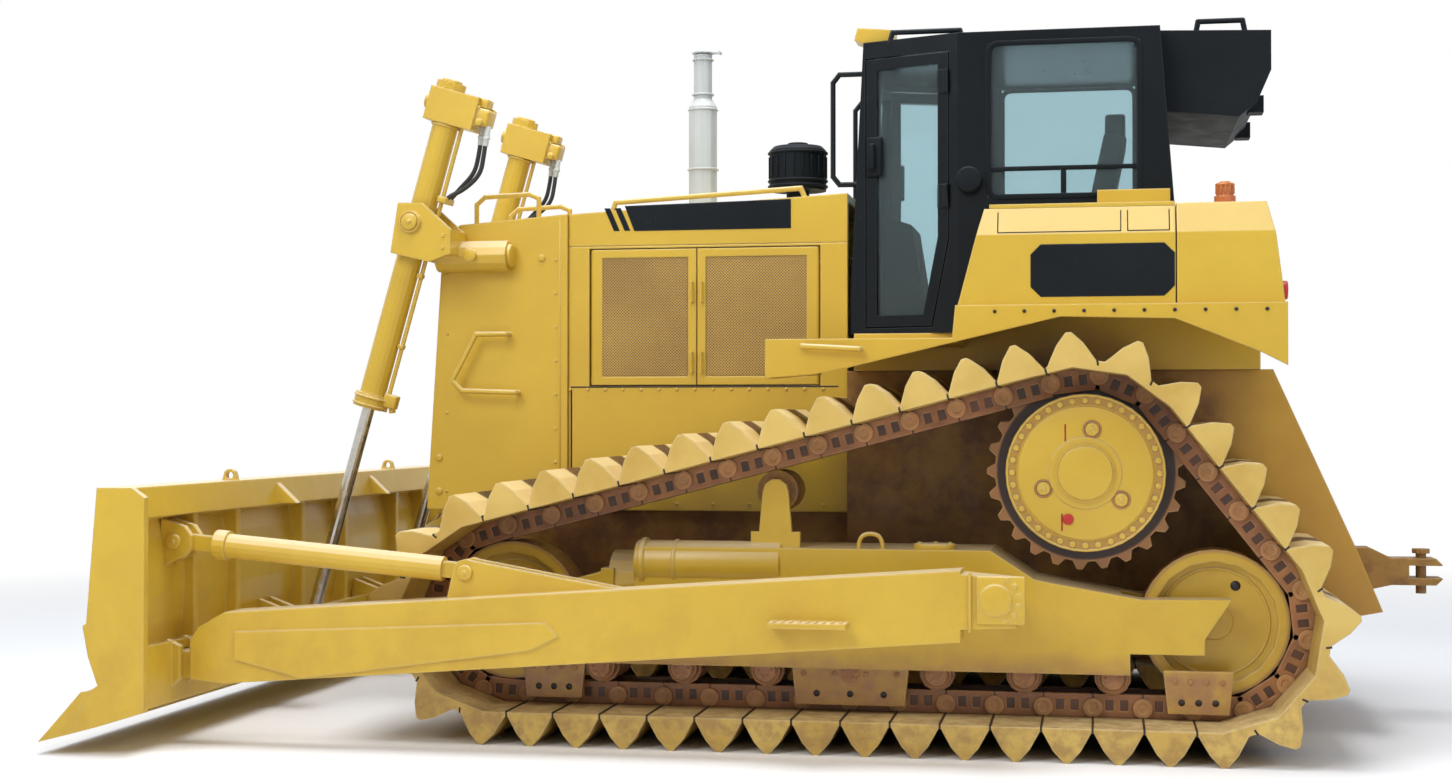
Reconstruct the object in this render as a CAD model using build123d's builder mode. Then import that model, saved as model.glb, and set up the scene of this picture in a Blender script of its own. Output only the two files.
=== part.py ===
from build123d import *
import math
import os

# A crawler bulldozer with raised sprockets and wide swamp tracks, in millimetres.
# +X points to the blade, +Y to the machine's left and +Z up. The origin is on the ground under the
# middle of the overall box, and the tips of the track lugs stand on the ground.

# Track: a chain of equal links, each with one three-cornered swamp shoe
track_pitch = 216.0
shoe_count = 43
shoe_width = 910.0
track_gauge = 2235.0
lug_reach = 192.0  # from the line of the pins to the tip of a lug
lug_tip_half = 12.0
shoe_gap = 8.0
shoe_seat = 58.0  # from the line of the pins to the back of the shoe
shoe_plate = 16.0
rail_depth = 60.0  # from the line of the pins to the rail that the wheels run on
rail_width = 40.0
rail_offset = 80.0  # of the middle of a rail from the middle of the chain

# Wheels that the track runs round
idler_path_r = 383.0
rear_idler_x = -1960.0
sprocket_path_r = 417.0
sprocket_x = -1404.0
sprocket_z = 1233.0
sprocket_teeth = 25
tooth_height = 36.0
tooth_reach = 21.0  # of a tooth's tip past the line of the pins
sprocket_thick = 70.0
hub_r = 340.0
hub_out = 272.5  # from the middle of the chain to the face of the hub
hub_ring_r = 130.0
hub_cap = 30.0
wheel_sides = 32
final_drive_r = 320.0
idler_width = 200.0
idler_rim = 50.0
idler_sink = 45.0
roller_first_x = 794.0
roller_spacing = 385.6
roller_count = 7
roller_width = 250.0
roller_z = 330.0
roller_sides = 12
carrier_x = -22.0
carrier_width = 230.0
carrier_r = 95.0
carrier_hub_r = 52.0
carrier_hub = 30.0

# Track frame: the beam inside each loop of track
beam_outside = 232.5  # from the middle of the chain to the beam's outer face
beam_inside = 217.5
beam_front_x = 616.0
beam_shoulder_x = -991.0
beam_top_z = 887.0
beam_bottom_z = 445.0
beam_fall_z = 761.0
beam_tail_z = 685.0
beam_tail_x = -1911.0
skirt_outer = 70.0
skirt_inner = 40.0
skirt_z = 352.0
skirt_lap = 20.0
skirt_past = 75.0
rock_guard_z = 185.0
rock_guard_thick = 30.0
rock_guards = ((-364.0, 530.0), (-1885.0, 300.0), (1010.0, 300.0))
recoil_r = 150.0
recoil_rise = 130.0  # of the recoil tube over the idlers' axles
recoil_out = 150.0
yoke_thick = 60.0
yoke_half = 60.0
yoke_past = 70.0
carrier_post = 30.0
carrier_post_top = 45.0
carrier_post_foot = 75.0
trunnion_x = -1041.0
trunnion_z = 695.0
trunnion_r = 60.0
pivot_r = 110.0

# Sides of the plain round tubes and pins
tube_sides = 16
pin_sides = 12

# Body between the tracks
body_room = 62.5  # between the shoes and the sides of the rear case
rail_inset = 120.0
frame_low_z = 640.0
rail_low_z = 680.0
rail_front_x = 1830.0
rail_nose_x = 1560.0
rail_nose_z = 900.0
engine_floor_z = 1010.0
case_top_z = 1700.0
tail_top_x = -2262.0
tail_knee = (-2644.0, 837.0)
tail_foot = (-2748.0, 577.0)
tail_low = (-2560.0, 540.0)
engine_x = 400.0
engine_length = 1150.0
engine_width = 640.0
engine_height = 1000.0

# Drawbar
drawbar_rear_x = -3096.0
drawbar_z = 725.0
drawbar_half = 65.0
drawbar_root = 115.0
drawbar_root_x = -2860.0
drawbar_width = 150.0
jaw_depth = 155.0
jaw_gap = 60.0
jaw_chamfer = 30.0
hitch_pin_r = 25.0
hitch_pin_inset = 90.0
hitch_head_r = 42.0
hitch_head = 22.0

# Radiator guard, hood and the panels beside the engine
guard_half = 520.0
guard_low_x = 1905.0
guard_top_front_x = 1823.0
guard_front_top_z = 2364.0
guard_top_x = 1732.0
guard_top_z = 2455.0
guard_rear_x = 1167.0
guard_rear_z = 2500.0
grille_low_z = 1110.0
grille_height = 1150.0
grille_half = 440.0
grille_depth = 320.0
grille_thick = 45.0
grille_frame = 45.0
grille_bar = 16.0
bar_count = 9
hood_rear_x = -250.0
hood_rear_z = 2578.0
hood_half = 500.0
hood_low_z = 2338.0
panel_thick = 40.0
door_low_z = 1638.0
door_high_z = 2318.0
door_front_x = 1052.0
door_mid_x = 505.0
door_rear_x = -110.0
door_gap = 6.0
door_border = 42.0
door_sink = 8.0
seam = 2.0

# Exhaust stack and air cleaner
stack_x = 555.0
stack_y = 100.0
stack_r = 74.0
stack_neck_r = 50.0
stack_shoulder_z = 3085.0
stack_neck_z = 3125.0
stack_top_z = 3358.0
flap_thick = 6.0
flap_pin_r = 8.0
flap_pin_back = 90.0
cleaner_x = 72.0
cleaner_r = 148.0
cleaner_low_z = 2650.0
cleaner_top_z = 2880.0
cleaner_neck_r = 60.0
cleaner_edge = 22.0

# Blade and its arms
blade_half = 2190.0
blade_top_z = 1168.0
board_deep_x = 2738.0  # the hollow of the board, half way up
board_deep_z = 725.0
board_foot_z = 300.0
board_curve_r = 1190.0
blade_skin = 25.0
blade_back_x = 2600.0
blade_shoulder_z = 1126.0
beam_step = 60.0  # of the upper beam's top from the back of the blade
top_beam_z = 1010.0
top_beam_x = 2640.0
foot_beam_z = 470.0
foot_beam_x = 2640.0
foot_low = (2802.0, 133.0)
foot_rise_z = 195.0
end_plate = 40.0
end_plate_front = ((2871.0, 576.0), (2888.0, 566.0), (2862.0, 432.0), (2817.0, 308.0))
edge_tip = (3098.0, 55.0)
edge_heel = (2946.0, 94.0)
edge_top_front = (2896.0, 278.0)
edge_top_rear = (2852.0, 285.0)
rib_thick = 40.0
rib_places = (1560.0, 1100.0, 300.0)
gusset_thick = 50.0
gusset_foot = 95.0
gusset_fall = 130.0
lifting_eye_y = 1080.0
lifting_eye_x = 2715.0
lifting_eye_z = 1192.0
lifting_eye_r = 18.0
lifting_eye_half = 46.0
lifting_eye_rise = 32.0
lifting_eye_thick = 30.0
arm_room = 77.5  # between the shoes and the push arm
arm_width = 200.0
arm_rear = (-895.0, 536.0, 835.0)
arm_front = (2391.0, 283.0, 601.0)
arm_snout = 160.0
arm_doubler = (
    (2334.0, 517.0),
    (895.0, 584.0),
    (838.0, 526.0),
    (961.0, 463.0),
    (2017.0, 318.0),
    (2334.0, 394.0),
)
doubler_thick = 14.0
step_pad_x = -260.0
step_pad_z = 600.0
step_pad_length = 330.0
step_pad_reach = 95.0
step_pad_thick = 24.0
socket_half = 115.0
socket_wall = 25.0
nose_pin = (2731.0, 359.0)
nose_lug_r = 58.0
nose_pin_r = 28.0
brace_y = 1700.0
brace_r = 55.0
brace_collar_r = 68.0
brace_collar = 60.0
brace_core = 70.0
brace_neck = 120.0
brace_blade_pin = (2672.0, 911.0)
brace_arm_pin = (1288.0, 789.0)
brace_eye_r = 50.0
brace_eye_thick = 60.0
brace_bracket_tail = (560.0, 720.0)
ear_thick = 35.0
ear_gap = 6.0
ear_round = 85.0

# Lift cylinders
lift_half = 645.0
lift_pivot = (1908.0, 2450.0)
lift_eye = (2491.0, 400.0)
barrel_r = 65.0
barrel_below = 960.0  # from the trunnion to the gland
head_wall = 125.0  # of the barrel's closed end, behind the bore
gland_r = 83.0
gland_length = 70.0
band_r = 81.0
band_length = 130.0
head_width = 150.0
head_front = 100.0
head_back = 160.0
head_height = 170.0
head_cap = 40.0
pipe_r = 11.0
rod_r = 31.0
rod_length = 1750.0
rod_gap = 1.0
lift_travel = 915.0
lift_pin_r = 25.0
eye_drift = 17.0  # radial room between the eye and its pin
eye_wall = 26.0
eye_thick = 70.0
lift_trunnion_r = 35.0
cheek_thick = 30.0
cheek_gap = 90.0
cheek_cap_r = 55.0
cheek_cap = 16.0
cheek_outline = (
    (1975.0, 2548.0),
    (2014.0, 2298.0),
    (1814.0, 2250.0),
    (1700.0, 2290.0),
    (1700.0, 2410.0),
    (1850.0, 2545.0),
)
yoke_bar = (1700.0, 1780.0, 2285.0, 2410.0)
boss_r = 78.0
boss_z = 2290.0
boss_rear_x = 1458.0
boss_front_x = 1830.0
boss_out = 40.0

# Cab
cab_front_low_x = -252.0
cab_front_top_x = -331.0
cab_rear_low_x = -1850.0
cab_rear_top_x = -1748.0
cab_low_z = 1880.0
cab_step_x = -812.0  # behind it the floor stands on the fenders
cab_top_z = 3312.0
cab_front_half = 480.0
cab_half = 690.0
cab_pillar_x = -800.0
cab_wall = 50.0
cab_margin = 40.0
glass_thick = 8.0
glass_depth = 15.0
glass_play = 1.0
door_sill = 30.0
door_head = 80.0
door_rear = 40.0
door_front = 95.0
door_knee = 90.0
door_knee_z = 420.0
door_rim = 55.0
knuckle_r = 12.0
knuckle_gap = 2.0
knuckle_x = 50.0
knuckle_leaf = 55.0
knuckle_height = 110.0
knuckle_places = (2480.0, 3030.0)
screen_low_z = 2350.0
screen_head = 142.0
screen_border = 90.0
rear_window_head = 432.0
rear_window_border = 110.0
side_window_front_x = -947.0
side_window_rear_x = -1655.0
side_window_low_z = 2520.0
side_window_head = 59.0
roof_unit_half = 560.0
roof_unit_rear_x = -2262.0
roof_unit_fall = 16.0
roof_unit_back = 203.0
roof_unit_depth = 386.0
roof_unit_belly = (2198.0, 351.0)
roof_unit_low = (2116.0, 419.0)
rear_lamp_y = 430.0
rear_lamp = (70.0, 110.0, 80.0)
work_lamp_y = 420.0
work_lamp_front_x = -285.0
work_lamp_length = 195.0
work_lamp_width = 150.0
work_lamp_height = 78.0
seat_x = -1240.0
seat_z = 2260.0
seat_width = 520.0
seat_pad = 120.0
seat_base = 380.0
seat_back_top_z = 2880.0
headrest_top_z = 2990.0
headrest_width = 260.0
console_half = 260.0
console_top_z = 2480.0
console_front_x = -400.0
console_depth = 220.0

# Fenders, side boxes and tank
deck_room = 22.5  # between the shoes and the sides of the deck
deck_front_x = -300.0
fender_outside = 182.5  # from the middle of the chain to the fender's outer face
fender_rear_x = -2267.0
fender_top_z = 1975.0
fender_plate = 20.0
fender_arch = ((-364.0, 1701.0), (-1296.0, 1920.0), (-1791.0, 1908.0), (-2157.0, 1758.0))
fender_tail_z = 1701.0
step_rear_x = -835.0
step_front_x = -205.0
step_slant = 14.0
step_top_z = 1830.0
step_low_z = 1670.0
bracket_front_x = 24.0
bracket_drop = 17.0
bracket_width = 200.0
box_inset = 60.0  # of the side boxes from the fender's outer face
box_beside = 80.0  # of the side boxes from the cab
box_front_x = -841.0
box_slant = 122.0
box_rear_x = -1796.0
box_shoulder_z = 2290.0
box_top_z = 2433.0
box_chamfer = 60.0
lid_front_x = -980.0
lid_thick = 20.0
lid_gap = 1.0
tank_front_x = -1802.0
tank_top_z = 2425.0
tank_rear_top_x = -2189.0
tank_rear_mid = (-2225.0, 2270.0)
tank_rear_low_x = -2262.0
tank_cap_x = -2028.0
tank_cap_y = 900.0
tank_cap_r = 48.0
tank_cap = 110.0
step_bar_rear_x = -1790.0
step_bar_front_x = -1457.0
step_bar_top_z = 2539.0
step_bar_thick = 40.0
step_bar_beside = 18.0

# Hand rails: bars bent from one thickness of tube
bar_r = 13.0
bar_sides = 6
bar_root = 15.0  # how far a bar's ends reach into what carries them
nose_rail_y = 300.0
nose_rail_rise = 150.0
grab_stand = 65.0
hood_rail_y = 470.0
hood_rail_rise = 45.0
cab_rail_y = 450.0
roof_rail_y = 560.0
roof_rail_rise = 36.0

clearance = 5.0
pin_gap = 0.5

half_pitch = track_pitch / 2
chain_y = track_gauge / 2
idler_z = lug_reach + idler_path_r
idler_r = idler_path_r - rail_depth - seam
roller_r = roller_z - (lug_reach + rail_depth)
sprocket_tooth_r = sprocket_path_r + tooth_reach
sprocket_root_r = sprocket_tooth_r - tooth_height
shoe_inner_y = chain_y - shoe_width / 2
body_half = shoe_inner_y - body_room
rail_half = body_half - rail_inset
deck_half = shoe_inner_y - deck_room
beam_outer_y = chain_y + beam_outside
beam_inner_y = chain_y - beam_inside
arm_inner_y = chain_y + shoe_width / 2 + arm_room
arm_outer_y = arm_inner_y + arm_width
fender_outer_y = chain_y + fender_outside
box_outer_y = fender_outer_y - box_inset
box_inner_y = cab_half + box_beside
cab_step_z = fender_top_z
sides = (1, -1)
side_names = {1: "left", -1: "right"}

os.makedirs("parts", exist_ok=True)


def side_plane(y):
    """The upright plane at y, drawn in X and Z. A positive extrusion goes towards -Y."""
    return Plane.XZ.offset(-y)


def cross_plane(x):
    """The plane across the machine at x, drawn in Y and Z. A positive extrusion goes towards +X."""
    return Plane.YZ.offset(x)


def outline(*points, mode=Mode.ADD):
    """A closed face through the points, in the sketch that is open."""
    Polygon(*points, align=None, mode=mode)


def round_end(center, radius, start, turn=180.0, steps=5):
    """Points of a rounded end about a centre, from an angle in degrees and anticlockwise."""
    angles = [math.radians(start + turn * step / steps) for step in range(steps + 1)]
    return [(center[0] + radius * math.cos(a), center[1] + radius * math.sin(a)) for a in angles]


def bar_pieces(points):
    """The plane and length of each straight piece of a bent bar, with a lap at its bends."""
    pieces = []
    for here, there in zip(points, points[1:]):
        along = Vector(*there) - Vector(*here)
        start = Vector(*here) - along.normalized() * bar_r / 2
        pieces.append((Plane(origin=start, z_dir=along), along.length + bar_r))
    return pieces


def write(part, name):
    part.label = name
    export_step(part, f"parts/{name}.step")


# Path of the track: straight runs and arcs round the rear idler, front idler and sprocket


def track_wheels(front_x):
    return [
        (rear_idler_x, idler_z, idler_path_r),
        (front_x, idler_z, idler_path_r),
        (sprocket_x, sprocket_z, sprocket_path_r),
    ]


def track_segments(front_x):
    """Arcs and runs in turn. An arc counts as long as the links that lie round it."""
    wheels = track_wheels(front_x)
    runs = []
    for here, there in zip(wheels, wheels[1:] + wheels[:1]):
        gap = math.hypot(there[0] - here[0], there[1] - here[1])
        along = math.atan2(there[1] - here[1], there[0] - here[0])
        normal = along - math.acos((here[2] - there[2]) / gap)
        runs.append((normal, math.sqrt(gap**2 - (here[2] - there[2]) ** 2)))
    segments = []
    for index, (x, z, radius) in enumerate(wheels):
        arrive = runs[index - 1][0]
        leave, run = runs[index]
        turn = (leave - arrive) % (2 * math.pi)
        link_angle = 2 * math.atan(half_pitch / radius)
        segments.append((turn / link_angle * track_pitch, x, z, radius, arrive, turn))
        segments.append((run, x, z, radius, leave, 0.0))
    return segments


def close_track():
    """The front idler's place that lets whole links close the loop."""
    front_x = 0.0
    for _ in range(40):
        length = sum(segment[0] for segment in track_segments(front_x))
        front_x += (shoe_count * track_pitch - length) / 2
    return front_x


def link_stations(front_x):
    """Middle and outward direction of each link, round the loop."""
    found = []
    segments = track_segments(front_x)
    for link in range(shoe_count):
        travel = link * track_pitch
        for length, x, z, radius, start, turn in segments:
            if travel < length:
                break
            travel -= length
        normal = start + turn * travel / length
        ahead = travel if turn == 0.0 else 0.0
        found.append(
            (
                x + radius * math.cos(normal) - ahead * math.sin(normal),
                z + radius * math.sin(normal) + ahead * math.cos(normal),
                normal,
            )
        )
    return found


def on_link(station, along, out):
    """A point given along a link and outward from the line of its pins."""
    x, z, normal = station
    return (
        x - along * math.sin(normal) + out * math.cos(normal),
        z + along * math.cos(normal) + out * math.sin(normal),
    )


front_idler_x = close_track()
stations = link_stations(front_idler_x)
shoe_half = half_pitch - shoe_gap / 2
flank = (0.56 * shoe_half, 0.62 * (lug_reach - shoe_seat) + shoe_seat)
shoe_outline = [
    on_link(station, along, out)
    for station in stations
    for along, out in (
        (-shoe_half, shoe_seat),
        (-flank[0], flank[1]),
        (-lug_tip_half, lug_reach),
        (lug_tip_half, lug_reach),
        (flank[0], flank[1]),
        (shoe_half, shoe_seat),
    )
]
shoe_back = [on_link(station, 0.0, shoe_seat - shoe_plate) for station in stations]
rail_half_length = half_pitch * (1 - rail_depth / idler_path_r)
rail_inside = []
for station, following in zip(stations, stations[1:] + stations[:1]):
    end = on_link(station, rail_half_length, -rail_depth)
    start = on_link(following, -rail_half_length, -rail_depth)
    rail_inside.append(((end[0] + start[0]) / 2, (end[1] + start[1]) / 2))
rail_outside = [on_link(station, 0.0, shoe_seat - shoe_plate / 2) for station in stations]

# Tracks
for side in sides:
    with BuildPart() as track:
        with BuildSketch(side_plane(side * chain_y + shoe_width / 2)):
            outline(*shoe_outline)
            outline(*shoe_back, mode=Mode.SUBTRACT)
        extrude(amount=shoe_width)
        for rail in sides:
            with BuildSketch(side_plane(side * chain_y + rail * rail_offset + rail_width / 2)):
                outline(*rail_outside)
                outline(*rail_inside, mode=Mode.SUBTRACT)
            extrude(amount=rail_width)
    write(track.part, f"track_{side_names[side]}")

# Sprockets: a toothed ring and the hub that carries it out through the loop
tooth_step = 360 / sprocket_teeth
tooth_outline = []
for tooth in range(sprocket_teeth):
    for share, radius in (
        (-0.34, sprocket_root_r),
        (-0.12, sprocket_tooth_r),
        (0.12, sprocket_tooth_r),
        (0.34, sprocket_root_r),
    ):
        angle = math.radians((tooth + share) * tooth_step)
        tooth_outline.append((sprocket_x + radius * math.cos(angle), sprocket_z + radius * math.sin(angle)))
with BuildPart() as sprockets:
    with BuildSketch(side_plane(chain_y + sprocket_thick / 2)):
        outline(*tooth_outline)
    extrude(amount=sprocket_thick)
    with BuildSketch(side_plane(chain_y + hub_out)):
        with Locations((sprocket_x, sprocket_z)):
            RegularPolygon(hub_r, wheel_sides)
    extrude(amount=hub_out - sprocket_thick / 2)
    with BuildSketch(side_plane(chain_y + hub_out + hub_cap)):
        with Locations((sprocket_x, sprocket_z)):
            RegularPolygon(hub_ring_r, tube_sides)
    extrude(amount=hub_cap)
    mirror(about=Plane.XZ)
write(sprockets.part, "sprockets")

# Idlers, one at each end of each loop, their outer faces sunk inside the rim
with BuildPart() as idlers:
    with BuildSketch(side_plane(chain_y + idler_width / 2)):
        with Locations((rear_idler_x, idler_z), (front_idler_x, idler_z)):
            RegularPolygon(idler_r, wheel_sides)
    extrude(amount=idler_width)
    with BuildSketch(side_plane(chain_y + idler_width / 2)):
        with Locations((rear_idler_x, idler_z), (front_idler_x, idler_z)):
            RegularPolygon(idler_r - idler_rim, tube_sides)
    extrude(amount=idler_sink, mode=Mode.SUBTRACT)
    mirror(about=Plane.XZ)
write(idlers.part, "idlers")

# Track rollers under each beam
with BuildPart() as track_rollers:
    with BuildSketch(side_plane(chain_y + roller_width / 2)):
        for index in range(roller_count):
            with Locations((roller_first_x - index * roller_spacing, roller_z)):
                RegularPolygon(roller_r, roller_sides, major_radius=False, rotation=180 / roller_sides)
    extrude(amount=roller_width)
    mirror(about=Plane.XZ)
write(track_rollers.part, "track_rollers")

# Carrier roller under the long upper run
top_normal = track_segments(front_idler_x)[3][4]
below_run = math.cos(top_normal) * (front_idler_x - carrier_x) + idler_r - carrier_r
carrier_z = idler_z + below_run / math.sin(top_normal)
with BuildPart() as carrier_rollers:
    with BuildSketch(side_plane(chain_y + carrier_width / 2)):
        with Locations((carrier_x, carrier_z)):
            RegularPolygon(carrier_r, tube_sides)
    extrude(amount=carrier_width)
    with BuildSketch(side_plane(chain_y + carrier_width / 2 + carrier_hub)):
        with Locations((carrier_x, carrier_z)):
            RegularPolygon(carrier_hub_r, roller_sides)
    extrude(amount=carrier_hub)
    mirror(about=Plane.XZ)
write(carrier_rollers.part, "carrier_rollers")

# Track frames: a deep beam, skirts and rock guards along the rollers, the recoil tube and the yokes
with BuildPart() as track_frames:
    with BuildSketch(side_plane(beam_outer_y)):
        outline(
            (beam_front_x, beam_bottom_z),
            (beam_front_x, beam_top_z),
            (beam_shoulder_x, beam_top_z),
            (beam_shoulder_x - 195, beam_fall_z),
            (beam_shoulder_x - 655, beam_tail_z - 3),
            (beam_tail_x - 114, beam_tail_z + 3),
            (beam_tail_x, beam_bottom_z + 69),
            (beam_tail_x, beam_bottom_z),
        )
    extrude(amount=beam_outer_y - beam_inner_y)
    # room for the rear idler between the arms of the beam
    idler_slot_x = rear_idler_x + idler_path_r + 4 * clearance
    with BuildSketch(side_plane(chain_y + idler_width / 2)):
        outline(
            (rear_idler_x - 100, beam_bottom_z - clearance),
            (idler_slot_x, beam_bottom_z - clearance),
            (idler_slot_x, beam_top_z),
            (rear_idler_x - 100, beam_top_z),
        )
    extrude(amount=idler_width, mode=Mode.SUBTRACT)
    # skirts that hang beside the rollers
    roller_span = roller_spacing * (roller_count - 1)
    skirt_height = beam_bottom_z + skirt_lap - skirt_z
    for face_y, thick in ((beam_outer_y, skirt_outer), (beam_inner_y + skirt_inner, skirt_inner)):
        with BuildSketch(side_plane(face_y)):
            with Locations((roller_first_x - roller_span / 2, skirt_z + skirt_height / 2)):
                Rectangle(roller_span + 2 * skirt_past, skirt_height)
        extrude(amount=thick)
    # rock guards beside the chain
    guard_face_y = beam_outer_y - skirt_outer + rock_guard_thick
    with BuildSketch(side_plane(guard_face_y)):
        for middle_x, length in rock_guards:
            outline(
                (middle_x - length / 2, skirt_z + skirt_lap),
                (middle_x - length / 2 + skirt_lap, rock_guard_z),
                (middle_x + length / 2 - skirt_lap, rock_guard_z),
                (middle_x + length / 2, skirt_z + skirt_lap),
            )
    extrude(amount=rock_guard_thick)
    # recoil tube and the yoke that carries the front idler
    recoil_z = idler_z + recoil_rise
    yoke_rear_x = beam_front_x + recoil_out - yoke_thick / 2
    with BuildSketch(cross_plane(beam_front_x - skirt_lap)):
        with Locations((chain_y, recoil_z)):
            RegularPolygon(recoil_r, tube_sides)
    extrude(amount=recoil_out + skirt_lap)
    with BuildSketch(cross_plane(yoke_rear_x)):
        with Locations((chain_y, (idler_z - yoke_half + recoil_z + recoil_r / 2) / 2)):
            Rectangle(idler_width + 2 * yoke_thick, recoil_rise + yoke_half + recoil_r / 2)
    extrude(amount=yoke_thick)
    for face_y in (chain_y + idler_width / 2 + yoke_thick, chain_y - idler_width / 2):
        with BuildSketch(side_plane(face_y)):
            outline(
                (yoke_rear_x, idler_z - yoke_half),
                *round_end((front_idler_x, idler_z), yoke_past, -60, 120, 4),
                (yoke_rear_x, recoil_z + recoil_r / 2),
            )
        extrude(amount=yoke_thick)
    # post of the carrier roller
    post_root_z = beam_top_z - clearance
    with BuildSketch(side_plane(chain_y + carrier_width / 2 + carrier_hub + carrier_post)):
        outline(
            (carrier_x - 1.5 * carrier_post_foot, post_root_z),
            (carrier_x + 1.5 * carrier_post_foot, post_root_z),
            (carrier_x + 1.5 * carrier_post_foot, post_root_z + carrier_post_foot),
            (carrier_x + carrier_post_foot, post_root_z + carrier_post_foot),
            *round_end((carrier_x, carrier_z), 1.3 * carrier_post_top, 0),
            (carrier_x - carrier_post_foot, post_root_z + carrier_post_foot),
            (carrier_x - 1.5 * carrier_post_foot, post_root_z + carrier_post_foot),
        )
    extrude(amount=carrier_post)
    # stub that the push arm swings on
    with BuildSketch(side_plane(arm_outer_y - socket_wall - clearance)):
        with Locations((trunnion_x, trunnion_z)):
            Circle(trunnion_r)
    extrude(amount=arm_outer_y - socket_wall - clearance - beam_outer_y)
    # pivot into the main frame
    with BuildSketch(side_plane(beam_inner_y)):
        with Locations((trunnion_x, trunnion_z)):
            RegularPolygon(pivot_r, roller_sides)
    extrude(amount=beam_inner_y - body_half)
    mirror(about=Plane.XZ)
write(track_frames.part, "track_frames")

# Main frame: the case between the sprockets, the tail and the rails under the engine
case_front_x = hood_rear_x - 10
with BuildPart() as main_frame:
    with BuildSketch(side_plane(body_half)):
        outline(
            (case_front_x, frame_low_z),
            (case_front_x, case_top_z),
            (tail_top_x, case_top_z),
            tail_knee,
            tail_foot,
            tail_low,
        )
    extrude(amount=2 * body_half)
    with BuildSketch(side_plane(rail_half)):
        outline(
            (case_front_x - 40, rail_low_z),
            (rail_nose_x, rail_low_z),
            (rail_front_x, rail_nose_z),
            (rail_front_x, engine_floor_z),
            (case_front_x - 40, engine_floor_z),
        )
    extrude(amount=2 * rail_half)
    with BuildSketch(side_plane(chain_y - sprocket_thick / 2)):
        with Locations((sprocket_x, sprocket_z)):
            RegularPolygon(final_drive_r, tube_sides)
    extrude(amount=chain_y - sprocket_thick / 2 - body_half)
    mirror(about=Plane.XZ)
write(main_frame.part, "main_frame")

# Drawbar: a tongue with a jaw and its upright pin
jaw_front_x = drawbar_rear_x + jaw_depth
hitch_x = drawbar_rear_x + hitch_pin_inset
with BuildPart() as drawbar:
    with BuildSketch(side_plane(drawbar_width / 2)):
        outline(
            (tail_knee[0], drawbar_z - drawbar_root),
            (tail_knee[0], drawbar_z + drawbar_root),
            (drawbar_root_x + 100, drawbar_z + drawbar_root),
            (drawbar_root_x, drawbar_z + drawbar_half),
            (drawbar_rear_x + jaw_chamfer, drawbar_z + drawbar_half),
            (drawbar_rear_x, drawbar_z + drawbar_half - jaw_chamfer),
            (drawbar_rear_x, drawbar_z - drawbar_half + jaw_chamfer),
            (drawbar_rear_x + jaw_chamfer, drawbar_z - drawbar_half),
            (drawbar_root_x, drawbar_z - drawbar_half),
        )
    extrude(amount=drawbar_width)
    with BuildSketch(side_plane(drawbar_width)):
        with Locations((jaw_front_x - jaw_depth, drawbar_z)):
            Rectangle(2 * jaw_depth, jaw_gap)
    extrude(amount=2 * drawbar_width, mode=Mode.SUBTRACT)
    with BuildSketch(Plane.XY.offset(drawbar_z - drawbar_half - 2 * hitch_head)):
        with Locations((hitch_x, 0)):
            RegularPolygon(hitch_pin_r, pin_sides)
    extrude(amount=2 * drawbar_half + 3 * hitch_head)
    with BuildSketch(Plane.XY.offset(drawbar_z + drawbar_half + hitch_head)):
        with Locations((hitch_x, 0)):
            RegularPolygon(hitch_head_r, pin_sides)
    extrude(amount=hitch_head)
    with BuildSketch(side_plane(body_half)):
        outline((tail_top_x, case_top_z), tail_knee, tail_foot, tail_low, (tail_top_x, frame_low_z))
    extrude(amount=2 * body_half, mode=Mode.SUBTRACT)
write(drawbar.part, "drawbar")

# Engine: one block in its real place
with BuildPart() as engine_block:
    with BuildSketch(Plane.XY.offset(engine_floor_z)):
        with Locations((engine_x, 0)):
            Rectangle(engine_length, engine_width)
    extrude(amount=engine_height)
write(engine_block.part, "engine_block")

# Radiator guard: a deep casing, open at the front for its grille doors
guard_lean = math.atan((guard_low_x - guard_top_front_x) / (guard_front_top_z - engine_floor_z))


def guard_front_x(z):
    return guard_low_x - (z - engine_floor_z) * math.tan(guard_lean)


def guard_roof_z(x):
    return guard_top_z + (guard_rear_z - guard_top_z) * (guard_top_x - x) / (guard_top_x - guard_rear_x)


def hood_roof_z(x):
    return guard_rear_z + (hood_rear_z - guard_rear_z) * (guard_rear_x - x) / (guard_rear_x - hood_rear_x)


grille_plane = Plane(
    origin=(guard_front_x(grille_low_z), 0, grille_low_z),
    x_dir=(0, 1, 0),
    z_dir=(math.cos(guard_lean), 0, math.sin(guard_lean)),
)
nose_loop = [
    (1380.0, nose_rail_y, guard_roof_z(1380.0) - bar_root),
    (1380.0, nose_rail_y, guard_roof_z(1380.0) + nose_rail_rise - 25),
    (1430.0, nose_rail_y, guard_roof_z(1430.0) + nose_rail_rise),
    (1670.0, nose_rail_y, guard_roof_z(1670.0) + nose_rail_rise + 10),
    (1715.0, nose_rail_y, guard_roof_z(1715.0) + nose_rail_rise - 25),
    (1715.0, nose_rail_y, guard_roof_z(1715.0) - bar_root),
]
side_grab = [
    (1420.0, guard_half - bar_root, 1600.0),
    (1420.0, guard_half + grab_stand, 1600.0),
    (1700.0, guard_half + grab_stand, 1610.0),
    (1750.0, guard_half + grab_stand, 1660.0),
    (1625.0, guard_half + grab_stand, 1895.0),
    (1470.0, guard_half + grab_stand, 1895.0),
    (1470.0, guard_half - bar_root, 1895.0),
]
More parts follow.
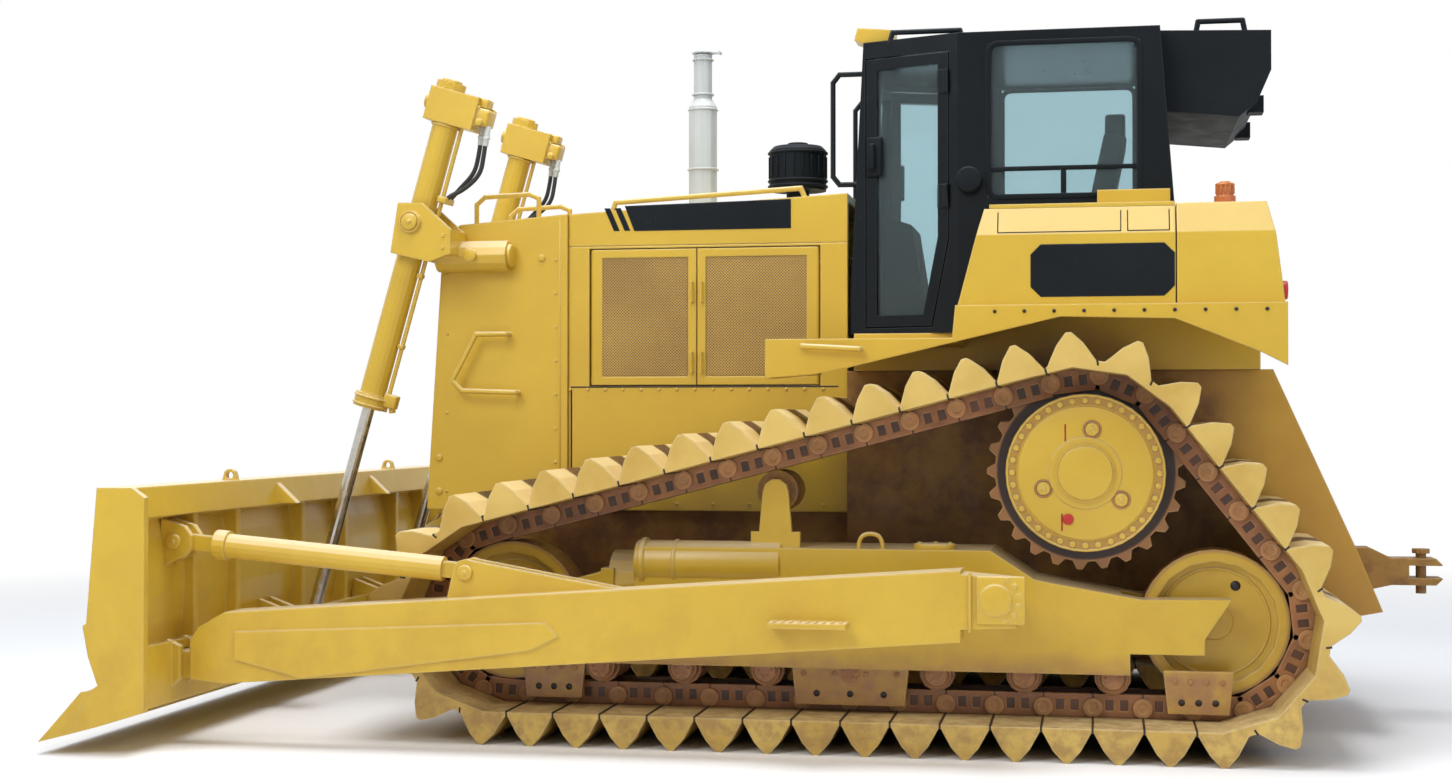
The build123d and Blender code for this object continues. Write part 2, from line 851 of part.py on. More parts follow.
with BuildPart() as radiator_guard:
    with BuildSketch(side_plane(guard_half)):
        outline(
            (guard_rear_x, engine_floor_z),
            (guard_low_x, engine_floor_z),
            (guard_top_front_x, guard_front_top_z),
            (guard_top_x, guard_top_z),
            (guard_rear_x, guard_rear_z),
        )
    extrude(amount=2 * guard_half)
    with BuildSketch(grille_plane):
        with Locations((0, grille_height / 2)):
            Rectangle(2 * grille_half, grille_height)
    extrude(amount=-grille_depth, mode=Mode.SUBTRACT)
    for side in sides:
        for points in (nose_loop, side_grab):
            for plane, length in bar_pieces([(x, side * y, z) for x, y, z in points]):
                with BuildSketch(plane):
                    RegularPolygon(bar_r, bar_sides)
                extrude(amount=length)
write(radiator_guard.part, "radiator_guard")

# Grille doors, hinged on the round bars at their outer edges
grille_hinge_r = grille_thick / 2
leaf_width = grille_half - 1.5 * door_gap
leaf_height = grille_height - 2 * door_gap
opening_width = leaf_width - 2 * grille_frame
opening_height = leaf_height - 2 * grille_frame
for side in sides:
    leaf_y = side * (door_gap / 2 + leaf_width / 2)
    hinge_y = side * (door_gap / 2 + leaf_width - grille_hinge_r)
    with BuildPart() as grille_door:
        with BuildSketch(grille_plane):
            with Locations((leaf_y - side * grille_hinge_r / 2, grille_height / 2)):
                Rectangle(leaf_width - grille_hinge_r, leaf_height)
            with Locations((leaf_y, grille_height / 2)):
                Rectangle(opening_width, opening_height, mode=Mode.SUBTRACT)
                with GridLocations(0, opening_height / (bar_count + 1), 1, bar_count):
                    Rectangle(opening_width, grille_bar)
        extrude(amount=-grille_thick)
        hinge_foot = grille_plane.from_local_coords((hinge_y, door_gap, -grille_hinge_r))
        with BuildSketch(Plane(origin=hinge_foot, x_dir=(0, 1, 0), z_dir=grille_plane.y_dir)):
            Circle(grille_hinge_r)
        extrude(amount=leaf_height)
    write(grille_door.part, f"grille_door_{side_names[side]}")

# Lift brackets on the guard, with a cheek each side of each cylinder
cheek_outer_y = lift_half + cheek_gap + cheek_thick
with BuildPart() as lift_brackets:
    with BuildSketch(side_plane(cheek_outer_y)):
        outline(*cheek_outline)
    extrude(amount=cheek_thick)
    with BuildSketch(side_plane(lift_half - cheek_gap)):
        outline(*cheek_outline)
        with Locations(lift_pivot):
            Circle(lift_trunnion_r + pin_gap, mode=Mode.SUBTRACT)
    extrude(amount=cheek_thick)
    with BuildSketch(side_plane(cheek_outer_y + cheek_cap)):
        with Locations(lift_pivot):
            RegularPolygon(cheek_cap_r, roller_sides)
    extrude(amount=cheek_cap)
    with BuildSketch(side_plane(cheek_outer_y)):
        outline(
            (yoke_bar[0], yoke_bar[2]),
            (yoke_bar[1], yoke_bar[2]),
            (yoke_bar[1], yoke_bar[3]),
            (yoke_bar[0], yoke_bar[3]),
        )
    extrude(amount=cheek_outer_y - guard_half)
    # round boss along the guard's corner
    with BuildSketch(cross_plane(boss_rear_x)):
        with Locations((guard_half + boss_out, boss_z)):
            RegularPolygon(boss_r, roller_sides)
        with Locations((guard_half - boss_r, boss_z)):
            Rectangle(2 * boss_r, 3 * boss_r, mode=Mode.SUBTRACT)
    extrude(amount=boss_front_x - boss_rear_x)
    mirror(about=Plane.XZ)
write(lift_brackets.part, "lift_brackets")

# Lift cylinders: barrel on its trunnions, rod sliding out of it to the eye
lift_dx = lift_eye[0] - lift_pivot[0]
lift_dz = lift_eye[1] - lift_pivot[1]
lift_length = math.hypot(lift_dx, lift_dz)
eye_bore_r = lift_pin_r + eye_drift
bore_start = lift_length - rod_length - lift_travel - rod_r
barrel_above = head_wall - bore_start
for side in sides:
    lift_y = side * lift_half
    axis_plane = Plane(
        origin=(lift_pivot[0], lift_y, lift_pivot[1]),
        x_dir=(0, 1, 0),
        z_dir=(lift_dx / lift_length, 0, lift_dz / lift_length),
    )
    with BuildPart() as barrel:
        with BuildSketch(axis_plane.offset(-barrel_above)):
            RegularPolygon(barrel_r, tube_sides)
        extrude(amount=barrel_above + barrel_below)
        with BuildSketch(axis_plane.offset(barrel_below - gland_length)):
            RegularPolygon(gland_r, tube_sides)
        extrude(amount=gland_length)
        with BuildSketch(axis_plane.offset(-band_length / 2)):
            RegularPolygon(band_r, tube_sides)
        extrude(amount=band_length)
        # head block with the valve behind it, and the cap on top
        with BuildSketch(axis_plane.offset(-barrel_above)):
            with Locations((0, (head_front - head_back) / 2)):
                Rectangle(head_width, head_front + head_back)
        extrude(amount=head_height)
        with BuildSketch(axis_plane.offset(-barrel_above - head_cap)):
            with Locations((0, head_front / 4)):
                RegularPolygon(head_width / 2, pin_sides)
        extrude(amount=head_cap)
        # pipe down the back of the barrel
        with BuildSketch(axis_plane.offset(head_height - barrel_above)):
            with Locations((0, -band_r - pipe_r / 2)):
                RegularPolygon(pipe_r, bar_sides)
        extrude(amount=barrel_above + barrel_below - head_height)
        # pin that turns in the inner cheek
        with BuildSketch(side_plane(lift_y)):
            with Locations(lift_pivot):
                Circle(lift_trunnion_r)
        extrude(amount=side * (cheek_gap + cheek_thick))
        with BuildSketch(axis_plane.offset(bore_start)):
            RegularPolygon(rod_r + rod_gap, pin_sides, major_radius=False)
        extrude(amount=barrel_below - bore_start, mode=Mode.SUBTRACT)
    write(barrel.part, f"lift_barrel_{side_names[side]}")
    with BuildPart() as rod:
        with BuildSketch(axis_plane.offset(lift_length - rod_length)):
            RegularPolygon(rod_r, tube_sides)
        extrude(amount=rod_length - eye_bore_r)
        with BuildSketch(side_plane(lift_y + eye_thick / 2)):
            with Locations(lift_eye):
                RegularPolygon(eye_bore_r + eye_wall, tube_sides)
        extrude(amount=eye_thick)
        with BuildSketch(side_plane(lift_y + eye_thick / 2)):
            with Locations(lift_eye):
                RegularPolygon(eye_bore_r, tube_sides, major_radius=False)
        extrude(amount=eye_thick, mode=Mode.SUBTRACT)
    write(rod.part, f"lift_rod_{side_names[side]}")


# Blade: curved skin, end plates, beams along its back and the ears that hold it


def board_point(z, behind=0.0):
    """A point of the board's hollow front at a height, or of a curve behind it."""
    sweep = math.sqrt(board_curve_r**2 - (z - board_deep_z) ** 2)
    return (board_deep_x + board_curve_r - sweep - behind, z)


def board_middle(z):
    """A point inside the thickness of the skin."""
    return board_point(z, blade_skin / 2)


board_steps = 7
board_rise = (blade_top_z - board_foot_z) / board_steps
board_heights = [board_foot_z + board_rise * step for step in range(board_steps + 1)]
board_front = [board_point(z) for z in board_heights]
board_back = [board_point(z, blade_skin) for z in reversed(board_heights)]
top_beam = [
    (blade_back_x + beam_step, blade_top_z),
    board_middle(blade_top_z),
    board_middle(top_beam_z),
    (top_beam_x, top_beam_z + blade_skin),
]
foot_beam = [
    (foot_beam_x, foot_rise_z),
    foot_low,
    edge_heel,
    edge_top_rear,
    board_point(board_foot_z),
    board_middle(foot_beam_z - blade_skin),
    (foot_beam_x, foot_beam_z),
]
lift_ear_room = eye_thick / 2 + 2 * ear_gap
lift_reach = eye_bore_r + eye_wall + 6 * clearance
with BuildPart() as blade:
    with BuildSketch(side_plane(blade_half)):
        outline(*board_front, *board_back)
    extrude(amount=blade_half)
    with BuildSketch(side_plane(blade_half)):
        outline(
            board_point(blade_top_z),
            *end_plate_front,
            edge_top_rear,
            edge_heel,
            foot_low,
            (blade_back_x, foot_rise_z),
            (blade_back_x, blade_shoulder_z),
            (blade_back_x + beam_step, blade_top_z),
        )
    extrude(amount=end_plate)
    with BuildSketch(side_plane(blade_half)):
        outline(*top_beam)
        outline(*foot_beam)
    extrude(amount=blade_half)
    # upright ribs
    for rib_y in rib_places:
        with BuildSketch(side_plane(rib_y + rib_thick / 2)):
            outline(
                (foot_beam_x + blade_skin, foot_beam_z - blade_skin),
                board_middle(foot_beam_z - blade_skin),
                board_middle(board_deep_z),
                board_middle(top_beam_z + 2 * blade_skin),
                (top_beam_x + blade_skin, top_beam_z + 2 * blade_skin),
            )
        extrude(amount=rib_thick)
    # gussets behind the upper beam, over the cylinders
    with BuildSketch(side_plane(lift_half + gusset_thick / 2)):
        outline(
            (blade_back_x + beam_step + blade_skin, blade_top_z),
            (top_beam_x - gusset_foot, blade_top_z - gusset_fall),
            (top_beam_x + blade_skin, blade_top_z - gusset_fall),
        )
    extrude(amount=gusset_thick)
    # lifting eyes on the upper beam
    with BuildSketch(side_plane(lifting_eye_y + lifting_eye_thick / 2)):
        outline(
            (lifting_eye_x - lifting_eye_half, blade_top_z - blade_skin),
            (lifting_eye_x + lifting_eye_half, blade_top_z - blade_skin),
            *round_end((lifting_eye_x, lifting_eye_z), lifting_eye_rise, 0),
        )
        with Locations((lifting_eye_x, lifting_eye_z)):
            Circle(lifting_eye_r, mode=Mode.SUBTRACT)
    extrude(amount=lifting_eye_thick)
    # ears on the foot beam for the push arm's nose
    for face_y in (arm_outer_y, arm_inner_y + ear_thick):
        with BuildSketch(side_plane(face_y)):
            outline(
                (blade_back_x, nose_pin[1] - nose_lug_r),
                (foot_beam_x + blade_skin, nose_pin[1] - 2 * nose_lug_r),
                (nose_pin[0], nose_pin[1] + 90),
                (foot_beam_x + blade_skin, nose_pin[1] + 2 * nose_lug_r),
                (blade_back_x, nose_pin[1] + 1.5 * nose_lug_r),
            )
        extrude(amount=ear_thick)
    # room in the foot beam for the arm's nose and for the eye of the lift rod
    with BuildSketch(side_plane(arm_outer_y - ear_thick)):
        outline(
            (nose_pin[0] - 3 * nose_lug_r, nose_pin[1] - nose_lug_r - clearance),
            *round_end(nose_pin, nose_lug_r + 2 * clearance, -90, 180, 6),
            (nose_pin[0] - 3 * nose_lug_r, nose_pin[1] + nose_lug_r + clearance),
        )
    extrude(amount=arm_width - 2 * ear_thick, mode=Mode.SUBTRACT)
    with BuildSketch(side_plane(arm_outer_y)):
        with Locations(nose_pin):
            RegularPolygon(nose_pin_r, pin_sides)
    extrude(amount=arm_width)
    with BuildSketch(side_plane(lift_half + lift_ear_room)):
        with Locations(lift_eye):
            RegularPolygon(lift_reach, roller_sides)
    extrude(amount=2 * lift_ear_room, mode=Mode.SUBTRACT)
    mirror(about=Plane.XZ)
write(blade.part, "blade")

# Ears welded to the back of the blade, and the pins in them
with BuildPart() as blade_ears:
    # for the brace
    for face_y in (brace_y + brace_eye_thick / 2 + ear_thick, brace_y - brace_eye_thick / 2):
        with BuildSketch(side_plane(face_y)):
            outline(
                (board_deep_x, brace_blade_pin[1] - 125),
                (board_deep_x, brace_blade_pin[1] + 105),
                *round_end(brace_blade_pin, ear_round, 90),
            )
        extrude(amount=ear_thick)
    # for the lift rods
    for face_y in (lift_half + lift_ear_room + ear_thick, lift_half - lift_ear_room):
        with BuildSketch(side_plane(face_y)):
            outline(
                (board_deep_x, board_foot_z + blade_skin),
                (board_deep_x, lift_eye[1] + 160),
                *round_end(lift_eye, eye_bore_r + eye_wall, 90),
            )
        extrude(amount=ear_thick)
    # cut to the blade's back
    with BuildSketch(side_plane(blade_half)):
        outline(*board_back, (edge_tip[0], board_foot_z), (edge_tip[0], blade_top_z))
        outline(*top_beam)
        outline(*foot_beam)
    extrude(amount=blade_half, mode=Mode.SUBTRACT)
    with BuildSketch(side_plane(lift_half + lift_ear_room + ear_gap)):
        with Locations(lift_eye):
            RegularPolygon(lift_pin_r, pin_sides)
    extrude(amount=2 * lift_ear_room + 2 * ear_gap)
    mirror(about=Plane.XZ)
write(blade_ears.part, "blade_ears")

# Cutting edge along the blade's foot
with BuildPart() as cutting_edge:
    with BuildSketch(side_plane(blade_half)):
        outline(edge_tip, edge_top_front, edge_top_rear, edge_heel)
    extrude(amount=2 * blade_half)
write(cutting_edge.part, "cutting_edge")


# Push arms: box beams from the trunnions to the noses pinned in the blade


def arm_top_z(x):
    return arm_rear[2] + (arm_front[2] - arm_rear[2]) * (x - arm_rear[0]) / (arm_front[0] - arm_rear[0])


with BuildPart() as push_arms:
    with BuildSketch(side_plane(arm_outer_y)):
        outline(
            (arm_rear[0], arm_rear[1]),
            (arm_rear[0], arm_rear[2]),
            (arm_front[0], arm_front[2]),
            (arm_front[0] + 0.75 * arm_snout, nose_pin[1] + 3 * nose_lug_r),
            (arm_front[0] + arm_snout, nose_pin[1] + 2 * nose_lug_r),
            (arm_front[0] + arm_snout, nose_pin[1] - nose_lug_r),
            (arm_front[0], arm_front[1]),
        )
    extrude(amount=arm_width)
    # nose, as wide as the room between the blade's ears
    with BuildSketch(side_plane(arm_outer_y - ear_thick)):
        outline(
            (arm_front[0] + arm_snout / 2, nose_pin[1] - nose_lug_r),
            *round_end(nose_pin, nose_lug_r, -90, 180, 6),
            (arm_front[0] + arm_snout / 2, nose_pin[1] + nose_lug_r),
        )
        with Locations(nose_pin):
            RegularPolygon(nose_pin_r + pin_gap, pin_sides, mode=Mode.SUBTRACT)
    extrude(amount=arm_width - 2 * ear_thick)
    # socket round the trunnion, closed by its outer wall
    with BuildSketch(side_plane(arm_outer_y)):
        outline(
            (arm_rear[0], trunnion_z - socket_half + 10),
            (arm_rear[0], trunnion_z + socket_half + 10),
            (trunnion_x - 0.75 * socket_half, trunnion_z + socket_half - 10),
            (trunnion_x - 0.75 * socket_half, trunnion_z - socket_half + 20),
        )
    extrude(amount=arm_width)
    with BuildSketch(side_plane(arm_outer_y - socket_wall)):
        with Locations((trunnion_x, trunnion_z)):
            Circle(trunnion_r + pin_gap)
    extrude(amount=arm_width, mode=Mode.SUBTRACT)
    # doubler on the outer face, and the step on it
    with BuildSketch(side_plane(arm_outer_y + doubler_thick)):
        outline(*arm_doubler)
    extrude(amount=doubler_thick)
    with BuildSketch(side_plane(arm_outer_y + step_pad_reach)):
        with Locations((step_pad_x, step_pad_z)):
            Rectangle(step_pad_length, step_pad_thick)
    extrude(amount=step_pad_reach)
    # bracket on top of the arm that holds the brace
    for face_y in (brace_y + brace_eye_thick / 2 + ear_thick, brace_y - brace_eye_thick / 2):
        with BuildSketch(side_plane(face_y)):
            outline(
                (brace_arm_pin[0] + 90, arm_top_z(brace_arm_pin[0] + 90) - blade_skin),
                *round_end(brace_arm_pin, brace_eye_r + 10, 0, 120, 4),
                brace_bracket_tail,
            )
        extrude(amount=ear_thick)
    mirror(about=Plane.XZ)
write(push_arms.part, "push_arms")

# Braces between the arms and the blade, tubes with an eye at each end
brace_dx = brace_blade_pin[0] - brace_arm_pin[0]
brace_dz = brace_blade_pin[1] - brace_arm_pin[1]
brace_length = math.hypot(brace_dx, brace_dz)
brace_plane = Plane(
    origin=(brace_arm_pin[0], brace_y, brace_arm_pin[1]),
    x_dir=(0, 1, 0),
    z_dir=(brace_dx / brace_length, 0, brace_dz / brace_length),
)
with BuildPart() as braces:
    with BuildSketch(brace_plane.offset(brace_neck)):
        RegularPolygon(brace_r, tube_sides)
    extrude(amount=brace_length - 2.5 * brace_neck)
    with BuildSketch(brace_plane.offset(brace_length - 1.5 * brace_neck - brace_collar)):
        RegularPolygon(brace_collar_r, tube_sides)
    extrude(amount=brace_collar)
    with BuildSketch(brace_plane):
        Rectangle(brace_eye_thick, brace_core)
    extrude(amount=brace_length)
    for pin in (brace_arm_pin, brace_blade_pin):
        with BuildSketch(side_plane(brace_y + brace_eye_thick / 2)):
            with Locations(pin):
                RegularPolygon(brace_eye_r, roller_sides)
        extrude(amount=brace_eye_thick)
    mirror(about=Plane.XZ)
write(braces.part, "braces")

# Hood over the engine, with a hand rail along each side
hood_rail = [
    (950.0, hood_rail_y, hood_roof_z(950.0) - bar_root),
    (930.0, hood_rail_y, hood_roof_z(930.0) + hood_rail_rise),
    (-15.0, hood_rail_y, hood_roof_z(-15.0) + hood_rail_rise),
    (-40.0, hood_rail_y, hood_roof_z(-40.0) - bar_root),
]
with BuildPart() as hood:
    with BuildSketch(side_plane(hood_half)):
        outline(
            (guard_rear_x - seam, hood_low_z),
            (guard_rear_x - seam, hood_roof_z(guard_rear_x - seam)),
            (hood_rear_x, hood_rear_z),
            (hood_rear_x, hood_low_z),
        )
    extrude(amount=2 * hood_half)
    with BuildSketch(side_plane(hood_half - panel_thick)):
        outline(
            (guard_rear_x, hood_low_z - seam),
            (guard_rear_x, guard_rear_z - panel_thick),
            (hood_rear_x - seam, hood_rear_z - panel_thick),
            (hood_rear_x - seam, hood_low_z - seam),
        )
    extrude(amount=2 * (hood_half - panel_thick), mode=Mode.SUBTRACT)
    for side in sides:
        for plane, length in bar_pieces([(x, side * y, z) for x, y, z in hood_rail]):
            with BuildSketch(plane):
                RegularPolygon(bar_r, bar_sides)
            extrude(amount=length)
write(hood.part, "hood")

# Engine side panels: the lower panel and the frame round the doors
doors_length = door_front_x - door_rear_x
doors_height = door_high_z - door_low_z
with BuildPart() as engine_panels:
    with BuildSketch(side_plane(hood_half)):
        outline(
            (guard_rear_x - seam, engine_floor_z),
            (guard_rear_x - seam, hood_low_z - seam),
            (hood_rear_x, hood_low_z - seam),
            (hood_rear_x, engine_floor_z),
        )
        with Locations(((door_front_x + door_rear_x) / 2, (door_low_z + door_high_z) / 2)):
            Rectangle(doors_length + 2 * door_gap, doors_height + 2 * door_gap, mode=Mode.SUBTRACT)
    extrude(amount=panel_thick)
    mirror(about=Plane.XZ)
write(engine_panels.part, "engine_panels")

# Engine doors, two a side, hinged on the round bars at their outer ends
door_hinge_r = panel_thick / 2
for side in sides:
    for place, hinge_x, edge_x in (
        ("front", door_front_x - door_hinge_r, door_mid_x + door_gap / 2),
        ("rear", door_rear_x + door_hinge_r, door_mid_x - door_gap / 2),
    ):
        middle_x = (hinge_x + edge_x) / 2
        width = abs(hinge_x - edge_x)
        with BuildPart() as engine_door:
            with BuildSketch(side_plane(side * hood_half)):
                with Locations((middle_x, (door_low_z + door_high_z) / 2)):
                    Rectangle(width, doors_height)
            extrude(amount=side * panel_thick)
            with BuildSketch(Plane.XY.offset(door_low_z)):
                with Locations((hinge_x, side * (hood_half - door_hinge_r))):
                    Circle(door_hinge_r)
            extrude(amount=doors_height)
            # field of the perforated sheet, set back inside its border
            with BuildSketch(side_plane(side * hood_half)):
                with Locations((middle_x, (door_low_z + door_high_z) / 2)):
                    Rectangle(width - 2 * door_border, doors_height - 2 * door_border)
            extrude(amount=side * door_sink, mode=Mode.SUBTRACT)
        write(engine_door.part, f"engine_door_{place}_{side_names[side]}")

# Exhaust stack with its rain flap, and the air cleaner
stack_foot_z = hood_roof_z(stack_x - stack_r)
shoulder_taper = math.degrees(math.atan((stack_r - stack_neck_r) / (stack_neck_z - stack_shoulder_z)))
with BuildPart() as exhaust_stack:
    with BuildSketch(Plane.XY.offset(stack_foot_z)):
        with Locations((stack_x, stack_y)):
            RegularPolygon(stack_r, tube_sides)
    extrude(amount=stack_shoulder_z - stack_foot_z)
    with BuildSketch(Plane.XY.offset(stack_shoulder_z)):
        with Locations((stack_x, stack_y)):
            RegularPolygon(stack_r, tube_sides)
    extrude(amount=stack_neck_z - stack_shoulder_z, taper=shoulder_taper)
    with BuildSketch(Plane.XY.offset(stack_shoulder_z)):
        with Locations((stack_x, stack_y)):
            RegularPolygon(stack_neck_r - seam, tube_sides)
    extrude(amount=stack_top_z - stack_shoulder_z)
write(exhaust_stack.part, "exhaust_stack")

flap_z = stack_top_z + flap_pin_r
with BuildPart() as rain_flap:
    with BuildSketch(Plane.XY.offset(flap_z - flap_thick / 2)):
        with Locations((stack_x, stack_y)):
            RegularPolygon(stack_neck_r + flap_pin_r, tube_sides)
        with Locations((stack_x - flap_pin_back / 2, stack_y)):
            Rectangle(flap_pin_back, 5 * flap_pin_r)
    extrude(amount=flap_thick)
    with BuildSketch(side_plane(stack_y + 2.5 * flap_pin_r)):
        with Locations((stack_x - flap_pin_back, flap_z)):
            Circle(flap_pin_r)
    extrude(amount=5 * flap_pin_r)
write(rain_flap.part, "rain_flap")

cleaner_foot_z = hood_roof_z(cleaner_x - cleaner_neck_r)
with BuildPart() as pre_cleaner:
    with BuildSketch(Plane.XY.offset(cleaner_foot_z)):
        with Locations((cleaner_x, 0)):
            RegularPolygon(cleaner_neck_r, tube_sides)
    extrude(amount=cleaner_low_z - cleaner_foot_z)
    with BuildSketch(Plane.XY.offset(cleaner_low_z)):
        with Locations((cleaner_x, 0)):
            RegularPolygon(cleaner_r, 2 * roller_sides)
    extrude(amount=cleaner_top_z - cleaner_low_z - cleaner_edge)
    with BuildSketch(Plane.XY.offset(cleaner_top_z - cleaner_edge)):
        with Locations((cleaner_x, 0)):
            RegularPolygon(cleaner_r, 2 * roller_sides)
    extrude(amount=cleaner_edge, taper=45)
write(pre_cleaner.part, "pre_cleaner")

# Cab: a hollow shell, narrower at the front, with its windows and doorways cut
door_dx = cab_front_low_x - cab_pillar_x
door_dy = cab_front_half - cab_half
door_length = math.hypot(door_dx, door_dy)


def cab_front_x(z):
    return cab_front_low_x + (cab_front_top_x - cab_front_low_x) * (z - cab_low_z) / (cab_top_z - cab_low_z)


def cab_rear_x(z):
    return cab_rear_low_x + (cab_rear_top_x - cab_rear_low_x) * (z - cab_step_z) / (cab_top_z - cab_step_z)


def cab_plan(inset):
    """The cab's outline from above, out past its slanting front and rear."""
    return (
        (cab_front_low_x + cab_margin - inset, cab_front_half - 0.4 * cab_margin - inset),
        (cab_pillar_x, cab_half - inset),
        (cab_rear_low_x - cab_margin + inset, cab_half - inset),
        (cab_rear_low_x - cab_margin + inset, inset - cab_half),
        (cab_pillar_x, inset - cab_half),
        (cab_front_low_x + cab_margin - inset, 0.4 * cab_margin - cab_front_half + inset),
    )


def cab_side(inset):
    """The cab's outline from the side, with the raised floor at its back."""
    return (
        (cab_front_low_x - inset, cab_low_z + inset),
        (cab_front_top_x - inset, cab_top_z - inset),
        (cab_rear_top_x + inset, cab_top_z - inset),
        (cab_rear_low_x + inset, cab_step_z + inset),
        (cab_step_x + inset, cab_step_z + inset),
        (cab_step_x + inset, cab_low_z + inset),
    )


def wall_plane(side):
    """The outer face of a doorway's wall: origin at the rear pillar, X forward along the wall."""
    return Plane(
        origin=(cab_pillar_x, side * cab_half, 0),
        x_dir=(door_dx / door_length, side * door_dy / door_length, 0),
        z_dir=(-door_dy / door_length, side * door_dx / door_length, 0),
    )


door_low = cab_low_z + door_sill
door_high = cab_top_z - door_head
door_end = door_length - door_front


def door_shape(inset):
    """The doorway's outline along its wall, or one inside it."""
    return (
        (door_rear + door_knee + 0.8 * inset, door_low + inset),
        (door_end - inset, door_low + inset),
        (door_end - inset, door_high - inset),
        (door_rear + inset, door_high - inset),
        (door_rear + inset, door_low + door_knee_z + 0.2 * inset),
    )


def wall_points(plane, points):
    """The points on a wall's plane, whose Y axis may point down."""
    sign = 1 if plane.y_dir.Z > 0 else -1
    return [(x, sign * z) for x, z in points]


def window_plane(x_at, low_z, high_z, facing):
    """A plane on a slanting end wall, centred on its window and set in from the wall's face."""
    middle_z = (low_z + high_z) / 2
    slant = (x_at(high_z) - x_at(low_z)) / (high_z - low_z)
    return Plane(
        origin=(x_at(middle_z), 0, middle_z),
        x_dir=(0, 1, 0),
        z_dir=(facing, 0, -facing * slant),
    ).offset(-glass_depth)


screen_high_z = cab_top_z - screen_head
screen_half = cab_front_half - screen_border
rear_window_high_z = cab_top_z - rear_window_head
rear_window_half = cab_half - rear_window_border
side_window_high_z = cab_top_z - side_window_head
side_window_x = (side_window_front_x + side_window_rear_x) / 2
side_window_z = (side_window_low_z + side_window_high_z) / 2
side_window_length = side_window_front_x - side_window_rear_x
side_window_height = side_window_high_z - side_window_low_z
cab_rail = [
    (cab_front_x(3170.0) - bar_root, cab_rail_y, 3170.0),
    (-205.0, cab_rail_y, 3170.0),
    (-173.0, cab_rail_y, 3130.0),
    (-173.0, cab_rail_y, 2665.0),
    (-205.0, cab_rail_y, 2625.0),
    (cab_front_x(2625.0) - bar_root, cab_rail_y, 2625.0),
]
roof_rail = [
    (-465.0, roof_rail_y, cab_top_z - bar_root),
    (-480.0, roof_rail_y, cab_top_z + roof_rail_rise),
    (-806.0, roof_rail_y, cab_top_z + roof_rail_rise),
    (-821.0, roof_rail_y, cab_top_z - bar_root),
]
with BuildPart() as cab_frame:
    with BuildSketch(Plane.XY.offset(cab_low_z)):
        outline(*cab_plan(0))
    extrude(amount=cab_top_z - cab_low_z)
    with BuildSketch(side_plane(cab_half + cab_margin)):
        outline(*cab_side(0))
    extrude(amount=2 * (cab_half + cab_margin), mode=Mode.INTERSECT)
    with BuildPart(mode=Mode.SUBTRACT):
        with BuildSketch(Plane.XY.offset(cab_low_z + cab_wall)):
            outline(*cab_plan(cab_wall))
        extrude(amount=cab_top_z - cab_low_z - 2 * cab_wall)
        with BuildSketch(side_plane(cab_half + cab_margin)):
            outline(*cab_side(cab_wall))
        extrude(amount=2 * (cab_half + cab_margin), mode=Mode.INTERSECT)
    # windscreen and rear window
    with BuildSketch(cross_plane(cab_front_top_x - 2 * cab_wall)):
        with Locations((0, (screen_low_z + screen_high_z) / 2)):
            Rectangle(2 * screen_half, screen_high_z - screen_low_z)
    extrude(amount=4 * cab_wall, mode=Mode.SUBTRACT)
    with BuildSketch(cross_plane(cab_rear_low_x - cab_wall)):
        with Locations((0, (screen_low_z + rear_window_high_z) / 2)):
            Rectangle(2 * rear_window_half, rear_window_high_z - screen_low_z)
    extrude(amount=4 * cab_wall, mode=Mode.SUBTRACT)
    # side windows behind the doors
    with BuildSketch(side_plane(cab_half + cab_margin)):
        with Locations((side_window_x, side_window_z)):
            Rectangle(side_window_length, side_window_height)
    extrude(amount=2 * (cab_half + cab_margin), mode=Mode.SUBTRACT)
    # doorways and the rails beside and over them
    for side in sides:
        with BuildSketch(wall_plane(side).offset(cab_wall)):
            outline(*wall_points(wall_plane(side), door_shape(0)))
        extrude(amount=-3 * cab_wall, mode=Mode.SUBTRACT)
        for points in (cab_rail, roof_rail):
            for plane, length in bar_pieces([(x, side * y, z) for x, y, z in points]):
                with BuildSketch(plane):
                    RegularPolygon(bar_r, bar_sides)
                extrude(amount=length)
write(cab_frame.part, "cab_frame")

# Cab doors, hinged on knuckles that stand on the outside of their rear edges, and their glass
knuckle_out = knuckle_r + knuckle_gap
for side in sides:
    face = wall_plane(side)
    with BuildPart() as cab_door:
        with BuildSketch(face):
            outline(*wall_points(face, door_shape(door_gap)))
            outline(*wall_points(face, door_shape(door_gap + door_rim)), mode=Mode.SUBTRACT)
        extrude(amount=-cab_wall)
        hinge = face.from_local_coords((knuckle_x, 0, knuckle_out))
        leaf_root = face.from_local_coords((knuckle_x + knuckle_leaf, 0, -knuckle_gap))
        leaf_tip = face.from_local_coords((knuckle_x, 0, knuckle_out + 0.4 * knuckle_r))
        leaf_heel = face.from_local_coords((knuckle_x + 0.7 * knuckle_leaf, 0, knuckle_out + 0.4 * knuckle_r))
        leaf_foot = face.from_local_coords((knuckle_x + door_gap, 0, -knuckle_gap))
        for low_z in knuckle_places:
            with BuildSketch(Plane.XY.offset(low_z)):
                with Locations((hinge.X, hinge.Y)):
                    Circle(knuckle_r)
                outline(*[(corner.X, corner.Y) for corner in (leaf_foot, leaf_tip, leaf_heel, leaf_root)])
            extrude(amount=knuckle_height)
    write(cab_door.part, f"cab_door_{side_names[side]}")
    with BuildPart() as door_glass:
        with BuildSketch(face.offset(-glass_depth)):
            outline(*wall_points(face, door_shape(door_gap + door_rim)))
        extrude(amount=-glass_thick)
    write(door_glass.part, f"door_glass_{side_names[side]}")

